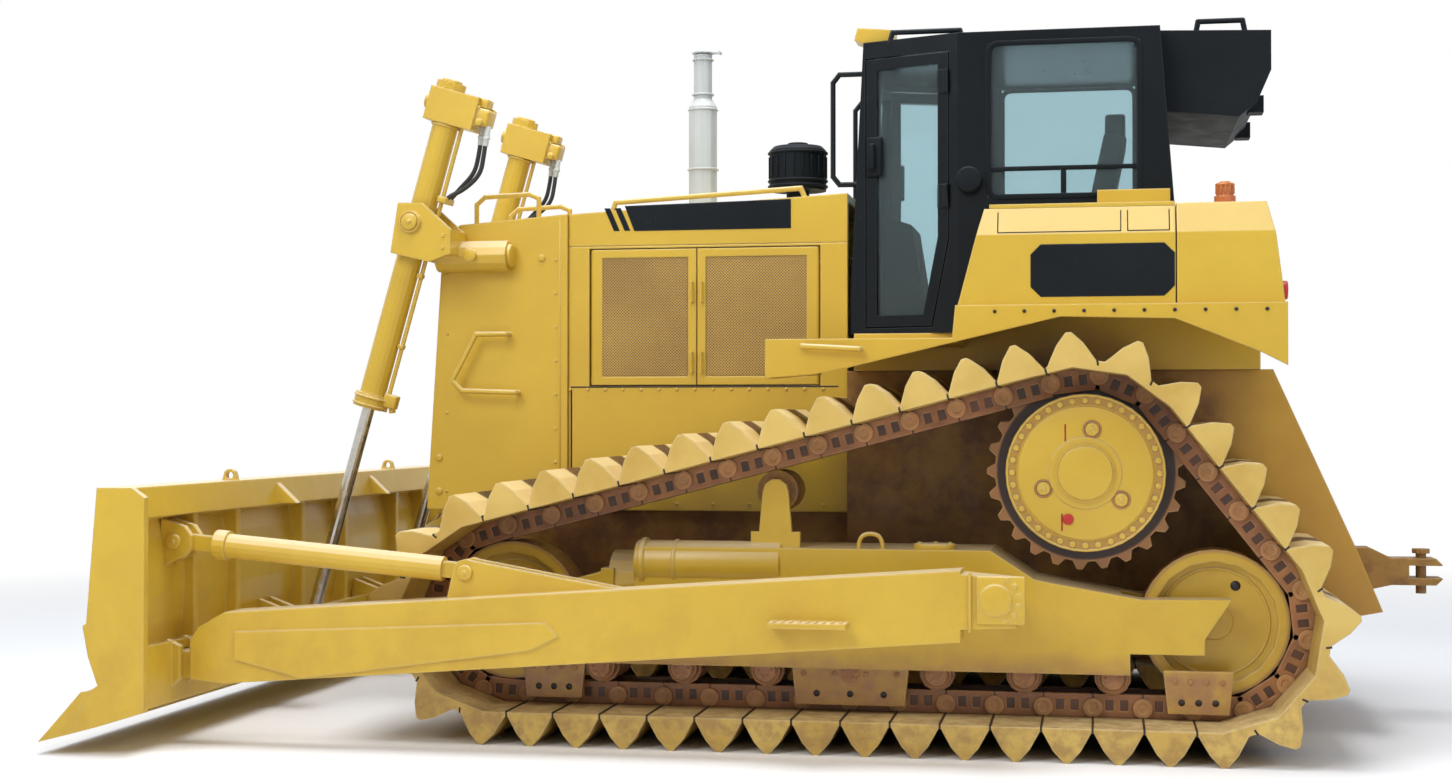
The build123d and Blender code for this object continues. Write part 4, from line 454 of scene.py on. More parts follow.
def trackMaterial():
    # shoes are painted, with painted highlights on up-facing faces and edges, the strip under the chain is
    # oiled steel, and the shoes' lower faces are dirtier
    graph = Graph("trackPaint")
    edge, soft = edgeMask(graph, shoeTones["edgeWidth"])
    sideways = graph.math("ABSOLUTE", graph.part(1))
    fromChain = graph.math("ABSOLUTE", graph.math("SUBTRACT", sideways, track["chainY"]))
    chain = graph.remap(fromChain, *shoeTones["strip"])
    cloud = graph.remap(graph.noise(3.0, 6), 0.35, 0.65)
    paint = graph.mix(cloud, *shoeTones["paint"])
    facing = graph.add("SeparateXYZ", None, {0: graph.add("NewGeometry").outputs["Normal"]}).outputs[2]
    # painted highlight: faces that point up are mixed towards the pale top tone
    paint = graph.mix(graph.remap(facing, 0.1, 0.8, 0, 0.6), paint, shoeTones["top"])
    low = graph.remap(graph.part(2), 0.6, 0.1)
    scuff = graph.times(graph.remap(graph.noise(12, 8, 0.7), 0.42, 0.60), low)
    paint = graph.mix(graph.times(scuff, 0.6), paint, shoeTones["scuffed"])
    # painted highlight: edges are mixed towards the pale edge tone
    paint = graph.mix(graph.times(edge, 0.5), paint, shoeTones["edge"])
    oiled = graph.mix(cloud, *shoeTones["oiled"])
    graph.feed("Base Color", graph.mix(chain, paint, oiled))
    graph.feed("Roughness", graph.remap(graph.noise(20, 5), 0.3, 0.7, 0.38, 0.58))
    graph.feed("Coat Weight", 0.1)
    bump = graph.bump(graph.noise(40, 4), 0.2, 0.003)
    graph.links.new(soft, bump.inputs["Normal"])
    return graph.material


def glassMaterial():
    graph = Graph("tintedGlass")
    graph.feed("Base Color", graph.mix(graph.noise(2, 3), *otherTones["glass"]))
    graph.feed("Roughness", 0.0)
    graph.feed("Transmission Weight", 0.96)
    graph.feed("IOR", 1.06)
    graph.feed("Specular IOR Level", 0.6)
    graph.feed("Coat Weight", 0.25)
    graph.feed("Coat Roughness", 0.03)
    return graph.material


def chromeMaterial():
    graph = Graph("rodChrome")
    streak = graph.add("TexNoise", None, {"Vector": graph.place, "Scale": 30, "Detail": 6}).outputs[0]
    graph.feed("Base Color", graph.mix(streak, *otherTones["chrome"]))
    graph.feed("Metallic", 1.0)
    graph.feed("Roughness", graph.remap(streak, 0.3, 0.7, 0.16, 0.30))
    return graph.material


def clothMaterial():
    graph = Graph("seatCloth")
    threads = {"Vector": graph.place, "Scale": 140, "Distortion": 0.6}
    weave = graph.add("TexWave", None, threads).outputs["Fac"]
    graph.feed("Base Color", graph.mix(weave, *otherTones["cloth"]))
    graph.feed("Roughness", 0.85)
    graph.feed("Sheen Weight", 0.3)
    graph.bump(weave, 0.4, 0.002)
    return graph.material


def rubberMaterial():
    graph = Graph("hoseRubber")
    rub = graph.noise(60, 4)
    graph.feed("Base Color", graph.mix(rub, *otherTones["rubber"]))
    graph.feed("Roughness", graph.remap(rub, 0.3, 0.7, 0.42, 0.58))
    graph.bump(rub, 0.2, 0.001)
    return graph.material


trackPaint = trackMaterial()
tintedGlass = glassMaterial()
rodChrome = chromeMaterial()
seatCloth = clothMaterial()
hoseRubber = rubberMaterial()

# every CAD node gets its material
nodeMaterials = {"cab_frame": blackPaint, "roof_unit": blackMoulded, "cab_glass": tintedGlass,
                 "seat": seatCloth, "console": blackMoulded, "exhaust_stack": silverPaint,
                 "rain_flap": silverPaint,
                 "pre_cleaner": blackMoulded, "drawbar": shadedPaint, "engine_block": shadedPaint,
                 "track_rollers": chainSteel, "filler_cap": orangePlastic, "main_frame": casePaint,
                 "carrier_rollers": shadedPaint, "sprockets": sprocketPaint, "idlers": idlerPaint,
                 "track_frames": framePaint, "track_left": trackPaint, "track_right": trackPaint}
for side, sign in sides:
    nodeMaterials["cab_door_" + side] = blackPaint
    nodeMaterials["door_glass_" + side] = tintedGlass
    nodeMaterials["lift_rod_" + side] = rodChrome
for name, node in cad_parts.items():
    node.data.materials.clear()
    node.data.materials.append(nodeMaterials.get(name, yellowPaint))
print("stage: materials")

# track chain: forged links with two windows each, and a round boss at each pin
link = {"length": 0.208, "low": -0.060, "high": 0.042, "thick": 0.022, "apart": 0.093,
        "windows": ((-0.055, -0.019), (0.010, 0.046)), "windowLow": -0.034, "windowHigh": 0.014,
        "sunk": 0.008, "boss": 0.043, "bossDepth": 0.052, "pin": 0.019}


def linkPlate():
    # a side plate along X, outward is +Z, cut where its windows are, sunk there and painted near black as
    # painted shade
    low, high = link["low"], link["high"]
    piece = plate((link["length"], link["thick"], high - low), (0, 0, (low + high) / 2))
    bakePlace(piece)
    for x in link["windows"][0] + link["windows"][1]:
        editAll(piece)
        bpy.ops.mesh.bisect(plane_co=(x, 0, 0), plane_no=(1, 0, 0))
    for z in (link["windowLow"], link["windowHigh"]):
        editAll(piece)
        bpy.ops.mesh.bisect(plane_co=(0, 0, z), plane_no=(0, 0, 1))
    bpy.ops.object.mode_set(mode="OBJECT")
    piece.data.materials.append(chainSteel)
    piece.data.materials.append(shadeAndDarkSteel)

    def atWindow(center, normal):
        across = any(start < center.x < end for start, end in link["windows"])
        return abs(normal.y) > 0.9 and across and link["windowLow"] < center.z < link["windowHigh"]

    pickFaces(piece, atWindow)
    bpy.ops.mesh.inset(thickness=0.002, depth=-link["sunk"], use_individual=True)
    piece.active_material_index = 1
    bpy.ops.object.material_slot_assign()
    bpy.ops.object.mode_set(mode="OBJECT")
    return piece


def linkBoss():
    # a round boss with softened rims and the end of the pin sunk in each face
    piece = disc(link["boss"], link["bossDepth"], (0, 0, 0), sides=18)
    pickFaces(piece, lambda c, n: n.z > 0.9 or n.z < -0.9)
    bpy.ops.mesh.inset(thickness=0.004)
    bpy.ops.transform.resize(value=(1, 1, 1.08))
    bpy.ops.mesh.inset(thickness=link["boss"] - link["pin"] - 0.007)
    bpy.ops.mesh.inset(thickness=0.002, depth=-0.004)
    bpy.ops.object.mode_set(mode="OBJECT")
    bakePlace(piece)
    smooth(piece)
    return piece


def pinPlace(x, z, normal):
    # the pin is half a pitch from a link's middle
    half = track["pitch"] / 2
    return x - half * math.sin(normal), z + half * math.cos(normal)


linkModel, bossModel = linkPlate(), linkBoss()
for side, sign in sides:
    links, bosses = [], []
    for x, z, normal in places:
        turn = (0, math.pi / 2 - normal, 0)
        pinX, pinZ = pinPlace(x, z, normal)
        for offset in (-link["apart"], link["apart"]):
            y = sign * track["chainY"] + offset
            links.append(copyTo(linkModel, (x, y, z), turn))
            bosses.append(copyTo(bossModel, (pinX, y, pinZ), turn))
    assemble(links, "link_plates_" + side, None)
    assemble(bosses, "pin_bosses_" + side, bossSteel)
removePiece(linkModel)
removePiece(bossModel)

# the seams between neighbouring shoes: dark strips of painted shade across the inside of the loop
shoe = {"low": 0.036, "high": 0.062, "inner": 0.110, "outer": 0.4560, "gap": 0.009}
seamSize = (shoe["gap"], shoe["outer"] - shoe["inner"], shoe["high"] - shoe["low"])
seamMiddle = (0, (shoe["inner"] + shoe["outer"]) / 2, (shoe["low"] + shoe["high"]) / 2)
seamModel = trim(plate(seamSize, seamMiddle), 0.001, 1)
for side, sign in sides:
    strips = []
    for x, z, normal in places:
        pinX, pinZ = pinPlace(x, z, normal)
        for half in (0, math.pi):
            turn = Euler((0, math.pi / 2 - normal, 0)).to_matrix() @ Euler((0, 0, half)).to_matrix()
            strips.append(copyTo(seamModel, (pinX, sign * track["chainY"], pinZ), turn.to_euler()))
    assemble(strips, "shoe_seams_" + side, shadeAndDarkSteel)
removePiece(seamModel)
print("stage: chain")

# bolts: one six-sided head for each size, copied wherever a flange is bolted
bolt = {"chamfer": 0.15, "crown": 0.12}
boltModels = {}


def boltHead(radius):
    if radius not in boltModels:
        piece = disc(radius, radius, (0, 0, 0), turn=(0, 0, 0), sides=6)
        pickFaces(piece, lambda c, n: n.z > 0.9)
        bpy.ops.mesh.inset(thickness=radius * bolt["chamfer"])
        bpy.ops.transform.translate(value=(0, 0, radius * bolt["crown"]))
        bpy.ops.object.mode_set(mode="OBJECT")
        bakePlace(piece)
        boltModels[radius] = piece
    return boltModels[radius]


def boltRow(radius, spots, facing):
    # bolts at the spots, each standing on its surface and pointing along facing
    turn = Vector(facing).to_track_quat("Z", "Y").to_euler()
    return [copyTo(boltHead(radius), spot, turn) for spot in spots]


def boltCircle(center, radius, count, size, sign):
    x, y, z = center
    turns = [2 * math.pi * index / count for index in range(count)]
    spots = [(x + radius * math.cos(turn), y, z + radius * math.sin(turn)) for turn in turns]
    return boltRow(size, spots, (0, sign, 0))


# sprocket hubs: rim with its bolt ring, raised discs, plugs with dark rings of painted shade round them, and
# inspection marks
hub = {"faceY": 1.390, "rim": 0.316, "rimBolts": 36, "boltSize": 0.0145, "lip": 0.338, "plugR": 0.192,
       "plugs": (81, 201, 323), "redPlug": (250, 0.215), "marks": ((0.085, 0.175), (0.100, -0.215)),
       # radius, depth, height above the face, rounding and number of sides
       "discs": ((0.292, 0.016, 0.004, 0.006, 64), (0.157, 0.012, 0.013, 0.004, 48),
                 (0.118, 0.020, 0.036, 0.006, 48))}


def onHub(sign, angle, radius, out):
    x, z = track["sprocket"]
    turn = math.radians(angle)
    return (x - radius * math.cos(turn), sign * (hub["faceY"] + out), z + radius * math.sin(turn))


for side, sign in sides:
    metal = [trim(disc(radius, depth, onHub(sign, 0, 0, out), sides=count), width)
             for radius, depth, out, width, count in hub["discs"]]
    rims = [ring(hub["lip"], 0.006, onHub(sign, 0, 0, -0.002))]
    grooves = []
    bolts = boltCircle(onHub(sign, 0, 0, 0), hub["rim"], hub["rimBolts"], hub["boltSize"], sign)
    for angle in hub["plugs"]:
        grooves.append(ring(0.036, 0.005, onHub(sign, angle, hub["plugR"], 0.013)))
        metal.append(trim(disc(0.029, 0.016, onHub(sign, angle, hub["plugR"], 0.014)), 0.004))
        bolts += boltRow(0.012, [onHub(sign, angle, hub["plugR"], 0.020)], (0, sign, 0))
    smoothAll(rims + grooves)
    assemble(metal + rims + bolts, "hub_trim_" + side, yellowPaint)
    # painted shade: the rings round the plugs get the darker chain steel
    assemble(grooves, "hub_grooves_" + side, chainSteel)
    marks = [trim(disc(0.024, 0.012, onHub(sign, *hub["redPlug"], 0.015), sides=20), 0.003)]
    for across, up in hub["marks"]:
        x, y, z = onHub(sign, 0, 0, 0.0125)
        marks.append(trim(plate((0.007, 0.003, 0.075), (x + across, y, z + up)), 0.001, 1))
    assemble(marks, "hub_marks_" + side, redPaint)
print("stage: sprockets")

# track rollers: the ribbed end caps
roller = {"firstX": 0.794, "step": 0.3856, "count": 7, "z": 0.330, "faceY": track["chainY"] + 0.125}
for side, sign in sides:
    caps, bolts = [], []
    for index in range(roller["count"]):
        x = roller["firstX"] - index * roller["step"]
        y, z = roller["faceY"], roller["z"]
        caps.append(disc(0.066, 0.050, (x, sign * (y + 0.020), z), sides=28))
        caps.append(disc(0.048, 0.030, (x, sign * (y + 0.055), z)))
        caps.append(ring(0.060, 0.006, (x, sign * (y + 0.045), z)))
        bolts += boltCircle((x, sign * (y + 0.070), z), 0.030, 6, 0.007, sign)
    smoothAll(caps)
    assemble(caps + bolts, "roller_caps_" + side, chainSteel)
print("stage: rollers")

# engine doors: perforated sheet and bar handles beside the joint of the two doors
doorField = {"low": 1.680, "high": 2.276, "inset": 0.045, "edge": 0.006, "pitch": 0.0145, "hole": 0.0042,
             "sheet": ((0.44, 0.255, 0.05, 1), (0.56, 0.345, 0.07, 1)), "holeShade": (0.06, 0.03, 0.012, 1)}
doors = {"front": (0.508, 1.052, 0.530), "rear": (-0.110, 0.502, 0.480)}  # both ends and the handle's place
grip = {"radius": 0.006, "length": 0.110, "out": 0.022, "foot": 0.048, "z": (2.10, 1.75)}


def perforatedMaterial():
    # round holes in staggered rows, painted dark as painted shade from behind the sheet
    graph = Graph("perforatedSheet")
    pitch, rise = doorField["pitch"], doorField["pitch"] * 0.5
    row = graph.math("DIVIDE", graph.part(2), rise)
    odd = graph.math("MODULO", graph.math("FLOOR", row), 2)
    across = graph.math("DIVIDE", graph.part(0), pitch)
    across = graph.math("ADD", across, graph.times(odd, 0.5))
    cellX = graph.times(graph.math("SUBTRACT", graph.math("FRACT", across), 0.5), pitch)
    cellZ = graph.times(graph.math("SUBTRACT", graph.math("FRACT", row), 0.5), rise)
    far = graph.length(cellX, cellZ)
    hole = graph.remap(far, doorField["hole"], doorField["hole"] * 0.7)
    sheet = graph.mix(graph.remap(graph.noise(2, 4), 0.35, 0.65), *doorField["sheet"])
    # painted shade: the holes get the dark tone
    graph.feed("Base Color", graph.mix(hole, sheet, doorField["holeShade"]))
    graph.feed("Roughness", 0.5)
    graph.bump(graph.math("SUBTRACT", 1, hole), 0.5, 0.003)
    return graph.material


perforatedSheet = perforatedMaterial()
for side, sign in sides:
    for place, (start, end, handleX) in doors.items():
        body = "engine_door_" + place + "_" + side
        nodeLow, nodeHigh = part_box(body)
        y = nodeHigh.y if sign > 0 else nodeLow.y
        wide, tall = end - start - 2 * doorField["inset"], doorField["high"] - doorField["low"]
        middle = ((start + end) / 2, y - sign * 0.006, doorField["low"] + tall / 2)
        sheet = plate((wide, 0.002, tall - 0.006), middle)
        bakePlace(sheet)
        pickFaces(sheet, lambda c, n: n.y * sign > 0.9)
        bpy.ops.mesh.inset(thickness=doorField["edge"])
        bpy.ops.transform.translate(value=(0, sign * 0.001, 0))
        bpy.ops.object.mode_set(mode="OBJECT")
        assemble([sheet], "door_sheet_" + place + "_" + side, perforatedSheet, body)
        grips = []
        for z in grip["z"]:
            out = y + sign * grip["out"]
            grips.append(disc(grip["radius"], grip["length"], (handleX, out, z), (0, 0, 0), 12))
            smooth(grips[-1])
            for foot in (-grip["foot"], grip["foot"]):
                grips.append(disc(grip["radius"], 0.024, (handleX, y + sign * 0.011, z + foot), sides=10))
        assemble(grips, "door_grips_" + place + "_" + side, yellowPaint, body)
print("stage: engine doors")

# side panels: the black stripe with two slanted bars, the bolt rows and the seams as dark strips of painted
# shade
stripe = {"x": (0.925, 0.03), "z": (2.41, 2.545), "out": 0.5012, "slant": 0.05, "rise": 0.022,
          "bars": (0.885, 0.83)}
panels = {"y": 0.500, "ends": (-130, 1160), "rows": ((1.615, 92), (1.045, 184)),
          "seams": (((0.008, 0.004, 0.590), 1.150, 1.325), ((1.360, 0.004, 0.007), 0.474, 1.628))}


def stripePlate(wide, tall, place, leanFrom, rise):
    # a thin plate that leans forward ahead of leanFrom, and whose top may rise towards the rear
    piece = plate((wide, 0.002, tall), place)
    bakePlace(piece)
    for point in piece.data.vertices:
        if point.co.z > place[2]:
            point.co.x += stripe["slant"] if point.co.x > leanFrom else 0
            point.co.z += rise * (0.5 - point.co.x)
    roundEdges(piece, 0.0004, 1)
    return piece


for side, sign in sides:
    (x0, x1), (z0, z1) = stripe["x"], stripe["z"]
    y, middle = sign * stripe["out"], (z0 + z1) / 2
    bars = [stripePlate(x0 - x1 - 0.10, z1 - z0, ((x0 + x1) / 2 - 0.05, y, middle), 0.5, stripe["rise"])]
    bars += [stripePlate(0.030, z1 - z0 - 0.02, (x + 0.03, y, middle - 0.008), 0, 0) for x in stripe["bars"]]
    assemble(bars, "hood_stripe_" + side, blackPaint)
    y = sign * panels["y"]
    spots = [(x / 1000, y, z) for z, step in panels["rows"] for x in range(*panels["ends"], step)]
    assemble(boltRow(0.009, spots, (0, sign, 0)), "panel_bolts_" + side, yellowPaint)
    seams = [trim(plate(size, (x, y, z)), 0.001, 1) for size, x, z in panels["seams"]]
    assemble(seams, "panel_seams_" + side, shadeAndDarkSteel)
print("stage: panels")

# trunnion blocks at the arms' rear ends, and the beams' loop, cover and recoil tube
arm = {"faceY": 1.850, "trunnionX": -1.041, "socket": (-1.062, 0.715), "boltR": 0.098, "bolts": 6,
       "firstBolt": 118, "boltStep": 25}
beam = {"outerY": 1.350, "topZ": 0.887, "loopX": -0.455, "coverX": -0.740, "coverStretch": 1.25,
        "loop": ((-0.055, -0.01), (-0.055, 0.03), (-0.03, 0.065), (0.03, 0.065), (0.055, 0.03),
                 (0.055, -0.01)),
        # both ends, radius, rounding and its steps
        "tube": ((-0.050, 0.625, 0.105, 0.012, 3), (0.575, 0.600, 0.117, 0.004, 2),
                 (0.430, 0.445, 0.111, 0.003, 2))}
for side, sign in sides:
    x, (socketX, z) = arm["trunnionX"], arm["socket"]
    face = sign * arm["faceY"]
    block = [trim(plate((0.200, 0.016, 0.200), (socketX, face + sign * 0.006, z)), 0.006),
             trim(disc(0.066, 0.022, (x, face + sign * 0.018, z), sides=32), 0.004),
             trim(plate((0.012, 0.020, 0.250), (socketX + 0.128, face + sign * 0.004, z - 0.01)), 0.003)]
    turns = [math.radians(arm["firstBolt"] + arm["boltStep"] * index) for index in range(arm["bolts"])]
    spots = [(x + arm["boltR"] * math.cos(turn), face + sign * 0.012, z + arm["boltR"] * math.sin(turn))
             for turn in turns]
    assemble(block + boltRow(0.012, spots, (0, sign, 0)), "trunnion_block_" + side, yellowPaint, "blade")

    y, top, coverX = sign * (beam["outerY"] - 0.06), beam["topZ"], beam["coverX"]
    loop = pipe([(beam["loopX"] + dx, y, top + dz) for dx, dz in beam["loop"]], 0.010)
    coverY = y - sign * 0.02
    cover = trim(disc(0.075, 0.030, (coverX, coverY, top + 0.010), (0, 0, 0), 28), 0.006)
    for point in cover.data.vertices:
        point.co.x = coverX + beam["coverStretch"] * (point.co.x - coverX)
    turns = [math.pi / 6 + math.pi / 3 * index for index in range(6)]
    spots = [(coverX + 0.078 * math.cos(turn), coverY + 0.058 * math.sin(turn), top + 0.024)
             for turn in turns]
    y, z = sign * (beam["outerY"] - 0.085), top - 0.080
    tube = [trim(shaft((start, y, z), (end, y, z), radius, 32), width, steps)
            for start, end, radius, width, steps in beam["tube"]]
    assemble([loop, cover] + tube + boltRow(0.009, spots, (0, 0, 1)), "beam_fittings_" + side, framePaint)
print("stage: beams")

# rock guards: bolts and dark discs of painted shade for the holes through them, each row as its height and
# its shares of the length
guards = {"places": ((-0.364, 0.42), (-1.885, 0.20), (1.010, 0.20)), "innerY": 1.2,
          "bolts": (0.325, (-0.5, -0.17, 0.17, 0.5)), "holes": (0.235, (-0.36, 0.0, 0.36))}


def onGuards(sign, row):
    z, steps = guards[row]
    spots = []
    for x, length in guards["places"]:
        for step in steps:
            place, normal = seatOn("track_frames", (x + step * length, sign * 2.2, z), (0, -sign, 0))
            if place and abs(place.y) > guards["innerY"]:
                spots.append(tuple(place))
    return spots


for side, sign in sides:
    holes = [trim(disc(0.015, 0.004, spot, sides=16), 0.001) for spot in onGuards(sign, "holes")]
    heads = boltRow(0.013, onGuards(sign, "bolts"), (0, sign, 0))
    assemble(heads, "guard_bolts_" + side, chainSteel)
    assemble(holes, "guard_holes_" + side, shadeAndDarkSteel)
print("stage: guards")

# lift cylinders: valve blocks and plugs behind the head, clamps, collars, ferrules and hoses
lift = {"pivot": (1.908, 2.450), "eye": (2.491, 0.400), "y": 0.645,
        # size, place along and ahead, rounding and its steps
        "blocks": (((0.075, 0.118, 0.085), -0.600, -0.190, 0.012, 3),
                   ((0.060, 0.090, 0.050), -0.670, -0.172, 0.010, 3),
                   ((0.012, 0.140, 0.110), -0.598, -0.158, 0.004, 2),
                   ((0.050, 0.130, 0.034), -0.150, -0.104, 0.006, 2),
                   ((0.070, 0.060, 0.070), 0.900, -0.105, 0.008, 3),
                   ((0.030, 0.046, 0.022), 0.250, -0.082, 0.004, 2),
                   ((0.030, 0.046, 0.022), 0.620, -0.082, 0.004, 2)),
        # both ends as along, ahead and aside, radius, sides, rounding and its steps
        "plugs": (((-0.615, 0.090, 0), (-0.615, 0.132, 0), 0.040, 24, 0.006, 2),
                  ((-0.570, -0.190, 0.052), (-0.570, -0.190, 0.085), 0.018, 16, 0.004, 2),
                  ((-0.640, -0.200, -0.050), (-0.640, -0.200, -0.080), 0.018, 16, 0.004, 2),
                  ((-0.722, 0.025, 0), (-0.745, 0.025, 0), 0.052, 28, 0.008, 3),
                  ((0.880, -0.100, 0), (0.955, -0.128, 0), 0.017, 16, 0.004, 2)),
        # place along, and both radii
        "collars": ((0.905, 0.083, 0.007), (0.945, 0.083, 0.006), (-0.512, 0.066, 0.008))}
hose = {"apart": 0.026, "back": 0.205, "stagger": 0.022, "radius": 0.0115,
        "ferrules": (((-0.565, 0, -0.465, 0.012), 0.015, 16, 0.003),
                     ((-0.512, 0.006, -0.497, 0.008), 0.020, 6, 0.002))}
liftRun = [end - start for start, end in zip(lift["pivot"], lift["eye"])]
downX, downZ = (reach / math.hypot(*liftRun) for reach in liftRun)
liftTurn = (0, -math.atan2(downX, -downZ), 0)
forward, upward = Vector((-downZ, 0, downX)), Vector((-downX, 0, -downZ))
# facing, size, places along, ahead and aside of the bolts
liftBolts = ((-forward, 0.010, (-0.640, -0.556), -0.166, 0.055), (upward, 0.011, (-0.685,), 0.075, 0.050),
             (forward, 0.010, (-0.655, -0.560), 0.100, 0.055))


def onLift(along, ahead, y):
    # along the cylinder from its trunnion, and ahead of its axis
    x, z = lift["pivot"]
    return (x + downX * along - downZ * ahead, y, z + downZ * along + downX * ahead)


for side, sign in sides:
    y, body = sign * lift["y"], "lift_barrel_" + side
    metal = [trim(plate(size, onLift(along, ahead, y), liftTurn), width, steps)
             for size, along, ahead, width, steps in lift["blocks"]]
    for start, end, radius, count, width, steps in lift["plugs"]:
        ends = [onLift(along, ahead, y + aside) for along, ahead, aside in (start, end)]
        metal.append(trim(shaft(*ends, radius, count), width, steps))
    collars = [ring(major, minor, onLift(along, 0, y), liftTurn) for along, major, minor in lift["collars"]]
    smoothAll(collars)
    bolts = []
    for facing, size, places, ahead, aside in liftBolts:
        spots = [onLift(along, ahead, y + step) for along in places for step in (-aside, aside)]
        bolts += boltRow(size, spots, facing)
    assemble(metal + collars + bolts, "lift_head_" + side, yellowPaint, body)

    ferrules, hoses = [], []
    for step in (-1, 1):
        w, back = y + step * hose["apart"], -hose["back"] - hose["stagger"] * step
        for (start, startOut, end, endOut), radius, count, width in hose["ferrules"]:
            ends = onLift(start, back - startOut, w), onLift(end, back - endOut, w)
            ferrules.append(trim(shaft(*ends, radius, count), width))
        route = ((-0.475, back - 0.010), (-0.420, back - 0.018), (-0.320, 1.12 * back),
                 (-0.225, -0.170 - 0.02 * step), (-0.175, -0.125), (-0.140, -0.104))
        hoses.append(pipe([onLift(along, ahead, w) for along, ahead in route], hose["radius"]))
    assemble(ferrules, "lift_ferrules_" + side, silverPaint, body)
    assemble(hoses, "lift_hoses_" + side, hoseRubber, body)

    # the yoke's outer cap with its bolt, and the boss behind it
    x, z = lift["pivot"]
    capY = sign * 0.781
    yoke = [trim(disc(0.040, 0.016, (x, capY + sign * 0.006, z), sides=28), 0.004),
            ring(0.050, 0.004, (x, capY, z)),
            trim(shaft((1.440, sign * 0.560, 2.290), (1.462, sign * 0.560, 2.290), 0.060, 28), 0.008, 3),
            trim(disc(0.034, 0.030, (1.640, sign * 0.641, 2.290)), 0.006)]
    yoke += boltRow(0.012, [(x, capY + sign * 0.014, z)], (0, sign, 0))
    yoke += boltRow(0.011, [(1.74, sign * 0.765, 2.32), (1.74, sign * 0.765, 2.38)], (0, sign, 0))
    assemble(yoke, "yoke_caps_" + side, yellowPaint)
print("stage: lift cylinders")

# radiator guard: seam, screws and the plugged holes at its foot
guardSide = {"y": 0.520, "seam": ((0.010, 0.006, 1.450), 1.205, 1.745),
             "screws": ((1.227, range(1080, 2440, 170)), (1.800, (1100, 1500, 1900, 2200))),
             "plugs": ((1.84, 1.10), (1.72, 1.06), (1.84, 1.27), (1.30, 2.28))}
for side, sign in sides:
    y = sign * guardSide["y"]
    size, x, z = guardSide["seam"]
    strips = [trim(plate(size, (x, y, z)), 0.002)]
    for x, z in guardSide["plugs"]:
        strips.append(trim(disc(0.018, 0.010, (x, y + sign * 0.003, z), sides=20), 0.003))
    spots = [(x, y, z / 1000) for x, rows in guardSide["screws"] for z in rows]
    assemble(strips + boltRow(0.008, spots, (0, sign, 0)), "guard_trim_" + side, yellowPaint)

# exhaust clamps, as both radii and height, and the air cleaner's ribs
stack = {"place": (0.555, 0.1),
         "clamps": ((0.052, 0.006, 3.15), (0.076, 0.006, 2.76), (0.075, 0.005, 3.07), (0.052, 0.005, 3.33))}
cleaner = {"x": 0.072, "radius": 0.150, "rings": (2.672, 2.700, 2.845), "ribs": 20, "ribZ": 2.77,
           "lidZ": 2.885}
clamps = [ring(major, minor, (*stack["place"], z), (0, 0, 0)) for major, minor, z in stack["clamps"]]
smoothAll(clamps)
assemble(clamps, "stack_clamps", silverPaint)
bowl = [ring(cleaner["radius"], 0.007, (cleaner["x"], 0, z), (0, 0, 0)) for z in cleaner["rings"]]
smoothAll(bowl)
for index in range(cleaner["ribs"]):
    angle = 2 * math.pi * index / cleaner["ribs"]
    reach = cleaner["radius"] - 0.001
    spot = (cleaner["x"] + reach * math.cos(angle), reach * math.sin(angle), cleaner["ribZ"])
    bowl.append(trim(plate((0.010, 0.006, 0.110), spot, (0, 0, angle)), 0.002))
bowl.append(trim(disc(0.055, 0.030, (cleaner["x"], 0, cleaner["lidZ"]), (0, 0, 0)), 0.008, 3))
assemble(bowl, "cleaner_ribs", blackMoulded)
print("stage: guard and hood")

# cab: gaskets with rounded corners, the sliding window's bars, door handle and knob
window = {"x": (-1.655, -0.947), "z": (2.520, 3.253), "y": 0.692, "barY": 0.681, "railZ": 2.655,
          "barZ": 2.588, "round": 0.060, "lap": 0.012, "width": 0.026, "thick": 0.010}
handle = {"place": (-0.390, 2.745), "foot": ((0.024, 0.085, 0.195), 0.006, 0.010),
          "bar": ((0.036, 0.034, 0.130), 0.030, 0.012)}
knob = {"place": (-0.860, 2.600), "stem": (-0.004, 0.060, 0.022, 16, 0.004, 2),
        "head": (0.055, 0.085, 0.062, 28, 0.010, 3)}


def gasket(x, z, y):
    # a flat ring with rounded corners, thickened to both sides
    bpy.ops.mesh.primitive_plane_add(size=1, location=((x[0] + x[1]) / 2, y, (z[0] + z[1]) / 2),
                                     rotation=(math.pi / 2, 0, 0))
    piece = bpy.context.object
    piece.scale = (x[1] - x[0] + 2 * window["lap"], z[1] - z[0] + 2 * window["lap"], 1)
    bakePlace(piece)
    editAll(piece)
    bpy.ops.mesh.bevel(offset=window["round"], segments=5, affect="VERTICES")
    bpy.ops.mesh.select_all(action="SELECT")
    bpy.ops.mesh.inset(thickness=window["width"])
    bpy.ops.mesh.delete(type="FACE")
    bpy.ops.object.mode_set(mode="OBJECT")
    solid = piece.modifiers.new("solid", "SOLIDIFY")
    solid.thickness = window["thick"]
    solid.offset = 0
    pickOnly(piece)
    bpy.ops.object.modifier_apply(modifier=solid.name)
    return trim(piece, 0.003)


